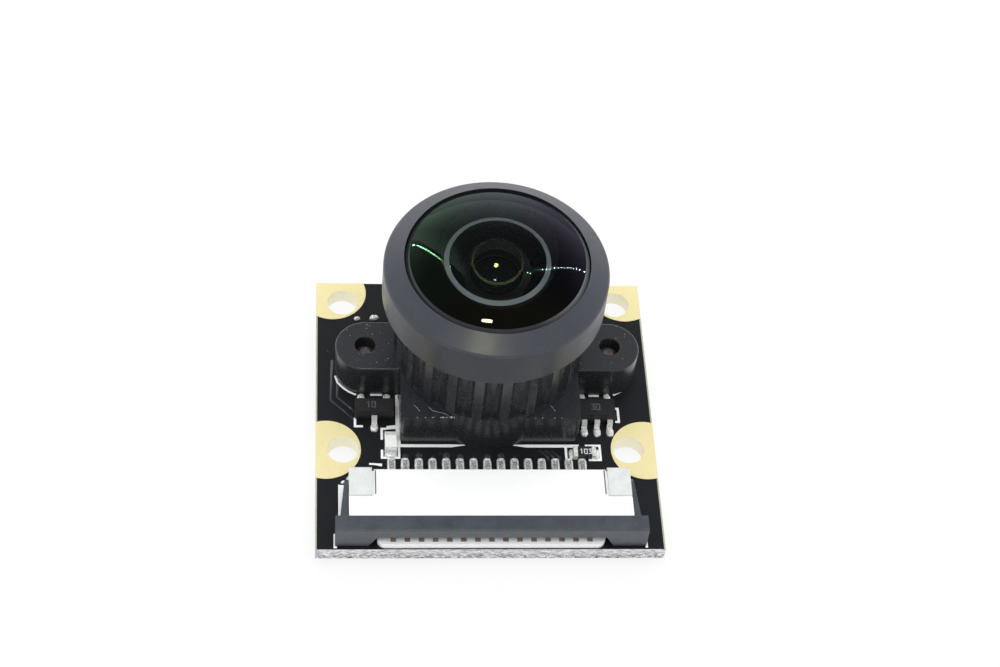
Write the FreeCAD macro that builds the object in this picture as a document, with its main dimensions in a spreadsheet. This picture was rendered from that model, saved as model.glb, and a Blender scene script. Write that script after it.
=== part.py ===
import FreeCAD, Part
import math
import os

import Sketcher
from FreeCAD import Placement, Rotation, Vector

# A camera module: a small square board with a fisheye lens screwed into a moulded mount,
# and a ribbon-cable connector with a sliding latch along its front edge.
# Millimetres. +Z is along the lens axis, out of the glass. X runs along the connector and
# Y from the connector towards the lens. The origin lies under the middle of the board,
# level with the undersides of the two screw heads.

SIZES = [
    # Board and its four mounting holes
    ("board_width", 25.0, "along X"),
    ("board_depth", 24.0, "along Y"),
    ("board_thickness", 1.2, ""),
    ("hole_radius", 1.15, "mounting hole, inside its plating"),
    ("hole_side_margin", 2.0, "mounting holes, centre to the side edge"),
    ("hole_front_margin", 8.5, "front holes, centre to the front edge"),
    ("hole_rear_margin", 1.9, "rear holes, centre to the rear edge"),
    ("plating_thickness", 0.04, "gold-coloured pads and hole linings"),
    ("pad_radius", 2.55, "pad round a mounting hole"),
    ("front_pad_inset", 0.75, "front pads, centre to the side edge"),
    ("rear_pad_inset_x", 1.25, "rear pads, centre to the side edge"),
    ("rear_pad_inset_y", 0.95, "rear pads, centre to the rear edge"),
    # Lens mount
    ("lens_x", 0.2, "lens axis, from the middle of the board"),
    ("lens_y", 3.7, "lens axis, from the middle of the board"),
    ("tube_wall", 0.95, "from the threaded bore to the tops of the ribs"),
    ("tube_bulge", 0.45, "tube beyond the faces of the square base"),
    ("mount_height", 3.15, "base and ears"),
    ("mount_corner_radius", 0.3, "upright corners of the base"),
    ("ear_reach", 2.55, "ear holes, beyond the sides of the base"),
    ("ear_wall", 1.43, "round an ear hole"),
    ("ear_edge_radius", 0.15, "rounding along the top of the ears"),
    ("tube_lip_chamfer", 0.25, "outer top edge of the tube"),
    ("flute_count", 22, "hollows round the tube"),
    ("flute_radius", 0.72, "round cutter of a hollow"),
    ("flute_depth", 0.42, ""),
    ("flute_base_gap", 0.4, "plain band under the hollows"),
    ("flute_angle", -1.5, "first hollow, from the front, in degrees"),
    ("bore_chamfer", 0.3, "mouth of the tube"),
    ("bore_floor_thickness", 0.4, "over the filter"),
    ("filter_size", 8.6, "square infrared filter"),
    ("filter_thickness", 0.3, ""),
    ("filter_air", 0.65, "between the sensor's cover glass and the filter"),
    ("filter_gap", 0.1, "round the filter, in its recess"),
    ("filter_rim", 0.4, "filter beyond the round light opening"),
    ("sensor_room_margin", 0.8, "sensor's room beyond the filter's recess"),
    ("sensor_width", 7.6, "along X"),
    ("sensor_depth", 7.0, "along Y"),
    ("sensor_height", 0.65, ""),
    ("sensor_glass_margin", 0.35, "package edge to glass edge"),
    ("sensor_glass_thickness", 0.4, ""),
    # Screws that hold the mount from below
    ("screw_radius", 0.75, "shank"),
    ("screw_clearance", 0.02, "shank in its ear"),
    ("screw_board_gap", 0.2, "shank in the board"),
    ("screw_head_overhang", 0.75, "head beyond the shank"),
    ("screw_head_height", 0.9, ""),
    ("screw_head_rounding", 0.7, "rounded edge of the pan head"),
    ("screw_tip_depth", 0.75, "tip below the top of the ear"),
    ("screw_point", 0.3, "height of the blunt point"),
    ("recess_end_gap", 0.05, "cross recess, to the rounded edge of the head"),
    ("recess_width", 0.36, ""),
    ("recess_depth", 0.5, ""),
    # Lens barrel
    ("thread_radius", 6.0, "outside of the screw thread"),
    ("thread_clearance", 0.05, "thread in its bore"),
    ("thread_chamfer", 0.3, "lower end of the thread"),
    ("barrel_floor_gap", 0.6, "barrel above the floor of its bore, in focus"),
    ("focus_gap", 0.5, "head above the top of the tube, in focus"),
    ("barrel_wall", 1.0, "from the inner glasses to the thread"),
    ("rear_lip_thickness", 1.2, "under the inner glasses"),
    ("rear_lip_width", 1.8, "under the inner glasses"),
    ("head_overhang", 1.06, "head beyond the tube"),
    ("head_height", 3.33, "upright wall"),
    ("head_rim_rounding", 0.35, "rim between wall and front cone"),
    ("head_under_chamfer", 0.4, "lower edge of the head"),
    ("cone_width", 1.44, "front cone, from the wall to the front glass"),
    ("cone_rise", 0.91, ""),
    ("seat_height", 2.8, "ledge of the front glass, above the head's underside"),
    # Glasses and rings inside the barrel, from the front to the rear
    ("glass_gap", 0.08, "round the front glass"),
    ("glass_edge_height", 1.2, "upright edge of the front glass"),
    ("glass_bevel", 0.29, "ground bevel between upright edge and dome"),
    ("dome_curve", 11.0, "radius of the domed front"),
    ("hollow_rim_inset", 1.95, "hollow behind the front glass, inside the inner glasses' edge"),
    ("hollow_curve_extra", 0.25, "radius of that hollow, over the radius of its rim"),
    ("hollow_bevel_width", 0.28, "ground bevel round the mouth of that hollow"),
    ("hollow_bevel_height", 0.14, ""),
    ("front_stack_gap", 0.4, "between the front glass and the retaining ring"),
    ("ring_gap", 0.03, "round the inner glasses and rings"),
    ("retainer_height", 1.1, "retaining ring, with a cone against stray light"),
    ("retainer_wall", 1.57, "flat front of the ring"),
    ("retainer_cone_width", 0.8, "from the flat front inwards"),
    ("retainer_cone_depth", 0.5, ""),
    ("retainer_lip", 0.2, "inner edge of the cone"),
    ("retainer_slot_width", 0.8, "two slots for a pin wrench"),
    ("retainer_slot_depth", 0.4, ""),
    ("second_edge_height", 1.4, "second glass"),
    ("second_front_curve", 40.0, ""),
    ("second_rear_curve", 5.0, ""),
    ("spacer_height", 0.8, ""),
    ("spacer_wall", 0.97, ""),
    ("third_edge_height", 1.0, "third glass"),
    ("third_curve", 13.0, ""),
    ("glass_rim", 1.37, "flat rim round the faces of the second and third glass"),
    ("stop_height", 1.6, "aperture stop, a ring with a thin web"),
    ("stop_opening", 1.0, "radius of the aperture"),
    ("stop_wall", 0.9, ""),
    ("stop_web", 0.3, "thickness of the web"),
    ("rear_edge_height", 1.4, "rear glass"),
    ("rear_curve", 9.0, ""),
    ("rear_rim", 1.97, "flat rim round the faces of the rear glass"),
    # Connector housing: its own zero is the middle of its rear wall, on the board
    ("connector_rear", -6.5, "rear wall, from the middle of the board"),
    ("pin_count", 15, ""),
    ("pin_pitch", 1.0, ""),
    ("slot_end_margin", 1.2, "ribbon slot, beyond the middles of the end contacts"),
    ("slot_height", 0.75, ""),
    ("slot_rear_wall", 0.9, ""),
    ("housing_side_wall", 1.925, "beside the slot"),
    ("housing_roof", 0.65, "over the slot"),
    ("housing_depth", 3.95, "full-height part"),
    ("lip_reach", 5.4, "front of the lower lip, from the rear wall"),
    ("lip_side_inset", 0.05, "lip inside the ends of the slot"),
    ("lip_corner_radius", 0.6, ""),
    ("lip_over_contact", 0.09, "slot's floor above a contact's straight run"),
    ("channel_clearance", 0.03, "each side of a contact"),
    ("channel_under_gap", 0.04, "under a contact"),
    ("channel_front_wall", 0.2, "in front of a channel"),
    # Contacts
    ("contact_width", 0.34, ""),
    ("contact_thickness", 0.18, ""),
    ("contact_foot_end", 2.05, "end of the soldered foot, behind the rear wall"),
    ("contact_foot_start", 1.05, ""),
    ("contact_rise_end", 0.35, ""),
    ("contact_run", 0.28, "height of the straight run inside the housing"),
    ("contact_bump", 0.2, "rise of the spring tip"),
    ("contact_tip_gap", 0.15, "front end of a contact, in its channel"),
    ("contact_tip_length", 0.95, "from the highest point to the front end"),
    ("contact_bump_length", 1.0, "from the start of the rise to the highest point"),
    # Solder tabs at the two rear corners
    ("tab_width", 1.64, ""),
    ("tab_thickness", 0.2, ""),
    ("tab_front", 2.15, "front edge, from the rear wall"),
    ("tab_slit", 0.15, "between a tab and its recess"),
    ("tab_rear", 0.32, "outer face of the leg, behind the rear wall"),
    ("tab_bend", 0.1, "inner radius of the bend"),
    # Sliding latch
    ("latch_side_overhang", 0.975, "bar beyond the side of the housing"),
    ("latch_top_step", 0.15, "bar above the housing"),
    ("latch_bar_depth", 1.25, ""),
    ("latch_back_gap", 0.05, "between bar and housing, pushed home"),
    ("latch_tongue_overlap", 0.07, "top of the tongue inside the bar"),
    ("latch_foot_width", 2.35, ""),
    ("latch_foot_bottom", 0.06, "above the board"),
    ("latch_foot_slope", 0.6, "sideways run of a foot's inner edge"),
    ("latch_edge_radius", 0.12, "upper front edge"),
    ("tongue_side_gap", 0.3, "tongue in the slot, at each end"),
    ("tongue_top_gap", 0.08, "tongue under the slot's ceiling"),
    ("tongue_thickness", 0.36, ""),
    ("tongue_rear", 1.9, "rear end, from the rear wall"),
    ("tongue_front_inset", 0.35, "behind the front of the bar"),
    ("arm_gap", 0.06, "between an arm and the housing"),
    ("arm_front_thickness", 0.6, ""),
    ("arm_rear_thickness", 0.25, ""),
    ("arm_rear", 0.5, "rear end, from the rear wall"),
    ("arm_bottom", 0.35, "above the board"),
    ("arm_height", 1.0, ""),
    ("hook_length", 0.5, "catch at the rear of an arm"),
    ("hook_reach", 0.25, "into the housing's side"),
    ("hook_gap", 0.06, "round the catch, in its groove"),
    ("latch_travel", 1.2, "pushed home to pulled out"),
    # Small chips and parts
    ("lead_thickness", 0.13, ""),
    ("lead_width", 0.4, ""),
    ("lead_foot", 0.42, "length of a soldered foot"),
    ("chip_standoff", 0.06, "body above the board"),
    ("chip_draft", 7.0, "slope of the moulded sides, in degrees"),
    ("chip_pin_pitch", 0.95, ""),
    ("three_pin_x", -8.2, ""),
    ("three_pin_y", -0.2, ""),
    ("three_pin_end", 0.5, "body beyond the middle of an end lead"),
    ("three_pin_depth", 1.3, ""),
    ("three_pin_height", 1.0, ""),
    ("three_pin_reach", 0.575, "feet beyond the body"),
    ("five_pin_x", 8.3, ""),
    ("five_pin_y", -0.35, ""),
    ("five_pin_end", 0.45, "body beyond the middle of an end lead"),
    ("five_pin_depth", 1.65, ""),
    ("five_pin_height", 1.05, ""),
    ("five_pin_reach", 0.6, "feet beyond the body"),
    ("led_x", -7.03, ""),
    ("led_y", -3.1, ""),
    ("led_length", 1.65, "along Y"),
    ("led_width", 0.85, ""),
    ("led_height", 0.55, ""),
    ("resistor_x", 7.2, ""),
    ("resistor_y", -3.87, ""),
    ("resistor_length", 1.65, "along X"),
    ("resistor_width", 0.85, ""),
    ("resistor_height", 0.45, ""),
    ("end_cap_length", 0.3, "metal end of a small part"),
    ("end_cap_skin", 0.02, "metal end over the body"),
]

doc = FreeCAD.newDocument("CameraModule")
sheet = doc.addObject("Spreadsheet::Sheet", "Sizes")
nodes = []


class Size:
    """A number together with the spreadsheet formula that gives it."""

    def __init__(self, number, formula):
        self.number = float(number)
        self.formula = formula

    def __add__(self, other):
        other = as_size(other)
        return Size(self.number + other.number, f"({self.formula} + {other.formula})")

    def __sub__(self, other):
        other = as_size(other)
        return Size(self.number - other.number, f"({self.formula} - {other.formula})")

    def __mul__(self, factor):
        factor = as_size(factor)
        return Size(self.number * factor.number, f"({self.formula} * {factor.formula})")

    def __truediv__(self, divisor):
        divisor = as_size(divisor)
        return Size(self.number / divisor.number, f"({self.formula} / {divisor.formula})")

    def __neg__(self):
        return Size(-self.number, f"(0 - {self.formula})")


def as_size(value):
    return value if isinstance(value, Size) else Size(value, f"{value:g}")


def size(name):
    return Size(sheet.get(name), f"Sizes.{name}")


def fill_sheet():
    for row, (name, number, meaning) in enumerate(SIZES, start=1):
        sheet.set(f"A{row}", name)
        sheet.set(f"B{row}", f"{number:g}")
        sheet.set(f"C{row}", meaning)
        sheet.setAlias(f"B{row}", name)
    doc.recompute()


# Bodies, sketches and features

def new_body(label, x=0, y=0, z=0, turn=0):
    body = doc.addObject("PartDesign::Body", label)
    body.Label = label
    body.AllowCompound = True
    place = [as_size(value) for value in (x, y, z)]
    body.Placement = Placement(Vector(*[value.number for value in place]), Rotation(Vector(0, 0, 1), turn))
    for axis, value in zip("xyz", place):
        body.setExpression(f"Placement.Base.{axis}", value.formula)
    nodes.append(body)
    return body


def origin_part(body, role):
    return next(item for item in body.Origin.OriginFeatures if item.Role == role)


def new_sketch(body, name, role="XY_Plane", offset=0):
    sketch = body.newObject("Sketcher::SketchObject", name)
    sketch.AttachmentSupport = [(origin_part(body, role), "")]
    sketch.MapMode = "FlatFace"
    offset = as_size(offset)
    sketch.AttachmentOffset = Placement(Vector(0, 0, offset.number), Rotation())
    sketch.setExpression("AttachmentOffset.Base.z", offset.formula)
    return sketch


def constrain(sketch, kind, where, value):
    """Adds a dimension and binds it to its formula."""
    index = sketch.addConstraint(Sketcher.Constraint(kind, *where, value.number))
    sketch.setExpression(f"Constraints[{index}]", value.formula)


def fix_point(sketch, edge, end, x, y):
    """Places the end of an edge at (x, y); a plain zero puts it on the axis."""
    for kind, value, axis in (("DistanceX", x, -2), ("DistanceY", y, -1)):
        if value.formula == "0":
            sketch.addConstraint(Sketcher.Constraint("PointOnObject", edge, end, axis))
        else:
            constrain(sketch, kind, (-1, 1, edge, end), value)


def arc_between(start, finish, radius):
    """The arc from start to finish; a positive radius turns left and a negative one right."""
    chord = finish - start
    half = chord.Length / 2
    middle = (start + finish) / 2
    left = Vector(-chord.y, chord.x, 0).normalize()
    away = math.sqrt(max(radius * radius - half * half, 0.0))
    centre = middle + left * math.copysign(away, radius)
    ends = (start, finish) if radius > 0 else (finish, start)
    angles = [math.atan2(point.y - centre.y, point.x - centre.x) for point in ends]
    return Part.ArcOfCircle(Part.Circle(centre, Vector(0, 0, 1), abs(radius)), *angles)


def outline(sketch, corners):
    """Draws a closed outline. A corner is (x, y), or (x, y, radius) where an arc leaves it."""
    corners = [tuple(as_size(value) for value in corner) for corner in corners]
    points = [Vector(corner[0].number, corner[1].number, 0) for corner in corners]
    ends = []
    for index, corner in enumerate(corners):
        start, finish = points[index], points[(index + 1) % len(points)]
        if len(corner) == 3:
            edge = sketch.addGeometry(arc_between(start, finish, corner[2].number), False)
            ends.append((edge, 1, 2) if corner[2].number > 0 else (edge, 2, 1))
        else:
            edge = sketch.addGeometry(Part.LineSegment(start, finish), False)
            ends.append((edge, 1, 2))
    for index, (edge, first, last) in enumerate(ends):
        following, opening, _ = ends[(index + 1) % len(ends)]
        sketch.addConstraint(Sketcher.Constraint("Coincident", edge, last, following, opening))
    for (edge, first, _), corner in zip(ends, corners):
        fix_point(sketch, edge, first, corner[0], corner[1])
    for (edge, _, _), corner in zip(ends, corners):
        if len(corner) == 3:
            turn = corner[2]
            constrain(sketch, "Radius", (edge,), turn if turn.number > 0 else -turn)


def rectangle(sketch, x_low, y_low, x_high, y_high):
    outline(sketch, [(x_low, y_low), (x_high, y_low), (x_high, y_high), (x_low, y_high)])


def centred_rectangle(sketch, width, depth):
    width, depth = as_size(width), as_size(depth)
    rectangle(sketch, -width / 2, -depth / 2, width / 2, depth / 2)


def circle(sketch, x, y, radius):
    x, y, radius = as_size(x), as_size(y), as_size(radius)
    shape = Part.Circle(Vector(x.number, y.number, 0), Vector(0, 0, 1), radius.number)
    edge = sketch.addGeometry(shape, False)
    fix_point(sketch, edge, 3, x, y)
    constrain(sketch, "Radius", (edge,), radius)


def volume(body):
    doc.recompute()
    return body.Shape.Volume if body.Tip is not None and not body.Shape.isNull() else 0.0


def feature(body, kind, name, sketch, length=None, flip=False, symmetric=False):
    """A pad, pocket or revolution made from a sketch, checked to have changed the body."""
    before = volume(body)
    made = body.newObject(f"PartDesign::{kind}", name)
    made.Profile = sketch
    if kind == "Revolution":
        made.ReferenceAxis = (sketch, ["V_Axis"])
        made.Angle = 360
    else:
        length = as_size(length)
        made.Length = length.number
        made.setExpression("Length", length.formula)
        made.Reversed = flip
        if symmetric:
            made.SideType = "Symmetric"
    body.Tip = made
    change = volume(body) - before
    if (change >= 0) == (kind == "Pocket"):
        raise RuntimeError(f"{body.Label}: {name} changed the volume by {change:.4f}")
    return made


def pad(body, name, sketch, length, down=False, symmetric=False):
    return feature(body, "Pad", name, sketch, length, down, symmetric)


def pocket(body, name, sketch, depth, up=False, symmetric=False):
    return feature(body, "Pocket", name, sketch, depth, up, symmetric)


def revolve(body, name, sketch):
    return feature(body, "Revolution", name, sketch)


def mirror(body, name, originals, role="YZ_Plane"):
    made = body.newObject("PartDesign::Mirrored", name)
    made.Originals = originals
    made.MirrorPlane = (origin_part(body, role), [""])
    body.Tip = made
    return made


def row_of(body, name, originals, pitch, count):
    """Copies features along +X."""
    made = body.newObject("PartDesign::LinearPattern", name)
    made.Originals = originals
    made.Direction = (origin_part(body, "X_Axis"), [""])
    reach = pitch * (count - 1)
    made.Length = reach.number
    made.setExpression("Length", reach.formula)
    made.Occurrences = round(count.number)
    made.setExpression("Occurrences", count.formula)
    body.Tip = made
    return made


def ring_of(body, name, originals, count):
    made = body.newObject("PartDesign::PolarPattern", name)
    made.Originals = originals
    made.Axis = (origin_part(body, "Z_Axis"), [""])
    made.Angle = 360
    made.Occurrences = round(count.number)
    made.setExpression("Occurrences", count.formula)
    body.Tip = made
    return made


def soften(body, kind, name, amount, picks):
    """Fillets or chamfers the edges of the body's tip that picks() accepts."""
    doc.recompute()
    base = body.Tip
    names = [f"Edge{n}" for n, edge in enumerate(base.Shape.Edges, start=1) if picks(edge)]
    if not names:
        raise RuntimeError(f"{body.Label}: {name} finds no edge")
    made = body.newObject(f"PartDesign::{kind}", name)
    made.Base = (base, names)
    path = "Radius" if kind == "Fillet" else "Size"
    setattr(made, path, amount.number)
    made.setExpression(path, amount.formula)
    body.Tip = made
    return made


def close_to(first, second):
    return abs(first - second) < 1e-4


def is_level(edge, height):
    """Whether the whole edge lies at this height."""
    return close_to(edge.BoundBox.ZMin, height.number) and close_to(edge.BoundBox.ZMax, height.number)


def is_upright(edge):
    return len(edge.Vertexes) == 2 and all(
        close_to(getattr(edge.Vertexes[0].Point, axis), getattr(edge.Vertexes[1].Point, axis))
        for axis in ("x", "y")
    )


def board_top():
    return size("screw_head_height") + size("board_thickness")


# Places and sizes that follow from others, above the board's top or from the lens axis

def filter_bottom():
    return size("sensor_height") + size("sensor_glass_thickness") + size("filter_air")


def filter_top():
    return filter_bottom() + size("filter_thickness")


def bore_floor():
    return filter_top() + size("bore_floor_thickness")


def barrel_bottom():
    return bore_floor() + size("barrel_floor_gap")


def stack_bottom():
    return barrel_bottom() + size("rear_lip_thickness")


def glass_seat():
    """The ledge under the front glass, over the whole stack of inner glasses and rings."""
    level = stack_bottom()
    for piece in ("rear_edge", "stop", "third_edge", "spacer", "second_edge", "retainer"):
        level = level + size(f"{piece}_height")
    return level + size("front_stack_gap")


def head_bottom():
    return glass_seat() - size("seat_height")


def head_rim():
    return head_bottom() + size("head_height")


def tube_height():
    return head_bottom() - size("focus_gap")


def bore_radius():
    return size("thread_radius") + size("thread_clearance")


def tube_radius():
    return bore_radius() + size("tube_wall")


def head_radius():
    return tube_radius() + size("head_overhang")


def front_opening():
    return head_radius() - size("cone_width")


def stack_radius():
    return size("thread_radius") - size("barrel_wall")


def inner_edge():
    """Outside of the inner glasses and rings."""
    return stack_radius() - size("ring_gap")


def mount_width():
    return (tube_radius() - size("tube_bulge")) * 2


def ear_spacing():
    return mount_width() + size("ear_reach") * 2


def ear_hole_radius():
    return size("screw_radius") + size("screw_clearance")


def slot_width():
    return size("pin_pitch") * (size("pin_count") - 1) + size("slot_end_margin") * 2


def housing_width():
    return slot_width() + size("housing_side_wall") * 2


def lip_height():
    return size("contact_run") + size("contact_thickness") + size("lip_over_contact")


def slot_top():
    return lip_height() + size("slot_height")


def housing_height():
    return slot_top() + size("housing_roof")


def channel_front():
    return size("lip_reach") - size("channel_front_wall")


def lens_body(label):
    """A body whose own zero is the lens axis at the board's top."""
    return new_body(label, size("lens_x"), size("lens_y"), board_top())


def connector_body(label):
    return new_body(label, 0, size("connector_rear"), board_top())


# Board and plating

def hole_column():
    return size("board_width") / 2 - size("hole_side_margin")


def hole_rows():
    half = size("board_depth") / 2
    return (size("hole_front_margin") - half, half - size("hole_rear_margin"))


def circuit_board():
    body = new_body("circuit_board", 0, 0, board_top())
    sketch = new_sketch(body, "board_outline")
    centred_rectangle(sketch, size("board_width"), size("board_depth"))
    drill = size("hole_radius") + size("plating_thickness")
    for side in (-1, 1):
        for y in hole_rows():
            circle(sketch, hole_column() * side, y, drill)
        ear_x = size("lens_x") + ear_spacing() / 2 * side
        circle(sketch, ear_x, size("lens_y"), size("screw_radius") + size("screw_board_gap"))
    pad(body, "board", sketch, size("board_thickness"), down=True)
    return body


def hole_pads():
    """Round pads on both faces, cut off at the board's edges, and the linings of the four holes."""
    body = new_body("hole_pads", 0, 0, board_top())
    skin = size("plating_thickness")
    half_width, half_depth = size("board_width") / 2, size("board_depth") / 2
    front_y, rear_y = hole_rows()
    places = []
    for side in (-1, 1):
        places.append((side, front_y, front_y, size("front_pad_inset")))
        places.append((side, rear_y, half_depth - size("rear_pad_inset_y"), size("rear_pad_inset_x")))
    for number, (side, hole_y, pad_y, inset) in enumerate(places, start=1):
        hole_x = hole_column() * side
        for face, level, down in (("top", as_size(0), False), ("bottom", -size("board_thickness"), True)):
            sketch = new_sketch(body, f"{face}_pad_{number}_outline", offset=level)
            circle(sketch, (half_width - inset) * side, pad_y, size("pad_radius"))
            pad(body, f"{face}_pad_{number}", sketch, skin, down=down)
        sketch = new_sketch(body, f"lining_{number}_outline", offset=-size("board_thickness"))
        circle(sketch, hole_x, hole_y, size("hole_radius") + skin)
        pad(body, f"lining_{number}", sketch, size("board_thickness"))
        sketch = new_sketch(body, f"hole_{number}_outline", offset=skin)
        circle(sketch, hole_x, hole_y, size("hole_radius"))
        pocket(body, f"hole_{number}", sketch, size("board_thickness") + skin * 2)
    trim = new_sketch(body, "beyond_board_outline", offset=skin)
    reach = size("pad_radius") * 2
    centred_rectangle(trim, size("board_width"), size("board_depth"))
    centred_rectangle(trim, size("board_width") + reach, size("board_depth") + reach)
    pocket(body, "beyond_board", trim, size("board_thickness") + skin * 2)
    return body


# Lens mount, with the screws and the parts under it

def lens_mount():
    body = lens_body("lens_mount")
    height = size("mount_height")
    half_ears, ear_radius = ear_spacing() / 2, ear_hole_radius() + size("ear_wall")

    base = new_sketch(body, "base_outline")
    centred_rectangle(base, mount_width(), mount_width())
    pad(body, "base", base, height)
    half = mount_width().number / 2
    soften(
        body, "Fillet", "base_corners", size("mount_corner_radius"),
        lambda edge: is_upright(edge) and close_to(abs(edge.Vertexes[0].X), half)
        and close_to(abs(edge.Vertexes[0].Y), half),
    )

    ears = new_sketch(body, "ear_outline")
    rectangle(ears, -half_ears, -ear_radius, half_ears, ear_radius)
    pad(body, "ears", ears, height)
    for side, name in ((-1, "left"), (1, "right")):
        end = new_sketch(body, f"{name}_ear_end_outline")
        circle(end, half_ears * side, 0, ear_radius)
        pad(body, f"{name}_ear_end", end, height)
    soften(
        body, "Fillet", "ear_edges", size("ear_edge_radius"),
        lambda edge: is_level(edge, height) and abs(edge.BoundBox.Center.x) > half,
    )

    tube = new_sketch(body, "tube_outline")
    circle(tube, 0, 0, tube_radius())
    pad(body, "tube", tube, tube_height())
    soften(
        body, "Chamfer", "tube_lip", size("tube_lip_chamfer"),
        lambda edge: close_to(edge.BoundBox.ZMin, tube_height().number),
    )
    cut_flutes(body)
    cut_bore(body)
    cut_underside(body)
    for side, name in ((-1, "left"), (1, "right")):
        hole = new_sketch(body, f"{name}_ear_hole_outline")
        circle(hole, half_ears * side, 0, ear_hole_radius())
        pocket(body, f"{name}_ear_hole", hole, height, up=True)
    return body


def cut_flutes(body):
    """Round upright hollows between the ribs of the tube."""
    start = size("mount_height") + size("flute_base_gap")
    sketch = new_sketch(body, "flute_outline", offset=start)
    sketch.AttachmentOffset = Placement(
        sketch.AttachmentOffset.Base, Rotation(Vector(0, 0, 1), size("flute_angle").number)
    )
    sketch.setExpression("AttachmentOffset.Rotation.Angle", f"{size('flute_angle').formula} * 1 deg")
    middle = tube_radius() + size("flute_radius") - size("flute_depth")
    circle(sketch, 0, -middle, size("flute_radius"))
    flute = pocket(body, "flute", sketch, tube_height() - start, up=True)
    ring_of(body, "flutes", [flute], size("flute_count"))


def cut_bore(body):
    floor, top = bore_floor(), tube_height()
    mouth = new_sketch(body, "bore_outline", offset=floor)
    circle(mouth, 0, 0, bore_radius())
    pocket(body, "bore", mouth, top - floor, up=True)
    soften(
        body, "Chamfer", "bore_mouth", size("bore_chamfer"),
        lambda edge: close_to(edge.BoundBox.ZMin, top.number)
        and close_to(edge.BoundBox.XLength, bore_radius().number * 2),
    )
    window = new_sketch(body, "window_outline")
    circle(window, 0, 0, size("filter_size") / 2 - size("filter_rim"))
    pocket(body, "window", window, floor, up=True)


def cut_underside(body):
    """The square room for the sensor, with the filter's shallow recess in its ceiling."""
    recess = size("filter_size") + size("filter_gap") * 2
    sketch = new_sketch(body, "filter_recess_outline")
    centred_rectangle(sketch, recess, recess)
    pocket(body, "filter_recess", sketch, filter_top(), up=True)
    room = recess + size("sensor_room_margin") * 2
    sketch = new_sketch(body, "sensor_room_outline")
    centred_rectangle(sketch, room, room)
    pocket(body, "sensor_room", sketch, filter_bottom(), up=True)


def mount_screws():
    """Two pan-head screws that come up through the board into the ears."""
    spacing = ear_spacing()
    body = new_body("mount_screws", size("lens_x") - spacing / 2, size("lens_y"), board_top())
    under = -size("board_thickness")
    bottom = under - size("screw_head_height")
    tip = size("mount_height") - size("screw_tip_depth")
    shank, edge = size("screw_radius"), size("screw_head_rounding")
    head = shank + size("screw_head_overhang")

    profile = new_sketch(body, "screw_outline", "XZ_Plane")
    outline(profile, [
        (0, bottom), (head - edge, bottom, edge), (head, bottom + edge), (head, under), (shank, under),
        (shank, tip - size("screw_point")), (shank / 2, tip), (0, tip),
    ])
    screw = revolve(body, "screw", profile)

    recess = new_sketch(body, "recess_outline", offset=bottom)
    long, short = head - edge - size("recess_end_gap"), size("recess_width") / 2
    outline(recess, [
        (-long, -short), (-short, -short), (-short, -long), (short, -long), (short, -short), (long, -short),
        (long, short), (short, short), (short, long), (-short, long), (-short, short), (-long, short),
    ])
    cut = pocket(body, "recess", recess, size("recess_depth"), up=True)
    row_of(body, "both_screws", [screw, cut], spacing, as_size(2))
    return body


def flat_square(label, width, depth, bottom, thickness):
    body = lens_body(label)
    sketch = new_sketch(body, f"{label}_outline", offset=bottom)
    centred_rectangle(sketch, width, depth)
    pad(body, label + "_block", sketch, thickness)
    return body


def sensor_stack():
    flat_square(
        "ir_filter", size("filter_size"), size("filter_size"), filter_bottom(), size("filter_thickness"),
    )
    flat_square("image_sensor", size("sensor_width"), size("sensor_depth"), 0, size("sensor_height"))
    margin = size("sensor_glass_margin") * 2
    flat_square(
        "sensor_glass", size("sensor_width") - margin, size("sensor_depth") - margin,
        size("sensor_height"), size("sensor_glass_thickness"),
    )


# Lens

def lens_barrel():
    """One turned piece: the wide head, the threaded shank and the stepped bore for the glasses."""
    body = lens_body("lens_barrel")
    thread, chamfer = size("thread_radius"), size("thread_chamfer")
    head, under = head_radius(), size("head_under_chamfer")
    low, rim, opening = head_bottom(), head_rim(), front_opening()
    bottom, seat, stack = barrel_bottom(), glass_seat(), stack_radius()
    rear_opening = stack - size("rear_lip_width")
    sketch = new_sketch(body, "barrel_outline", "XZ_Plane")
    outline(sketch, [
        (rear_opening, bottom), (thread - chamfer, bottom), (thread, bottom + chamfer), (thread, low),
        (head - under, low), (head, low + under), (head, rim), (opening, rim + size("cone_rise")),
        (opening, seat), (stack, seat), (stack, stack_bottom()), (rear_opening, stack_bottom()),
    ])
    revolve(body, "barrel", sketch)
    soften(
        body, "Fillet", "head_rim", size("head_rim_rounding"),
        lambda edge: is_level(edge, rim) and close_to(edge.BoundBox.XLength, head.number * 2),
    )
    return body


def cap_height(curve, radius):
    """How far a spherical face of this curve rises over a circle of this radius."""
    number = curve.number - math.sqrt(curve.number ** 2 - radius.number ** 2)
    formula = f"({curve.formula} - sqrt({curve.formula} ^ 2 - {radius.formula} ^ 2))"
    return Size(number, formula)


def front_glass():
    """The domed front glass: a ground bevel, an upright edge and a deep hollow behind."""
    body = lens_body("front_glass")
    edge = front_opening() - size("glass_gap")
    dome, dome_curve = edge - size("glass_bevel"), size("dome_curve")
    seat, rim = glass_seat(), stack_radius() - size("hollow_rim_inset")
    hollow_curve = rim + size("hollow_curve_extra")
    hollow_rim = seat + size("hollow_bevel_height")
    shoulder = seat + size("glass_edge_height")
    dome_start = shoulder + size("glass_bevel")
    sketch = new_sketch(body, "front_glass_outline", "XZ_Plane")
    outline(sketch, [
        (0, hollow_rim + cap_height(hollow_curve, rim), -hollow_curve), (rim, hollow_rim),
        (rim + size("hollow_bevel_width"), seat), (edge, seat), (edge, shoulder),
        (dome, dome_start, dome_curve), (0, dome_start + cap_height(dome_curve, dome)),
    ])
    revolve(body, "front_glass_turned", sketch)
    return body


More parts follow.
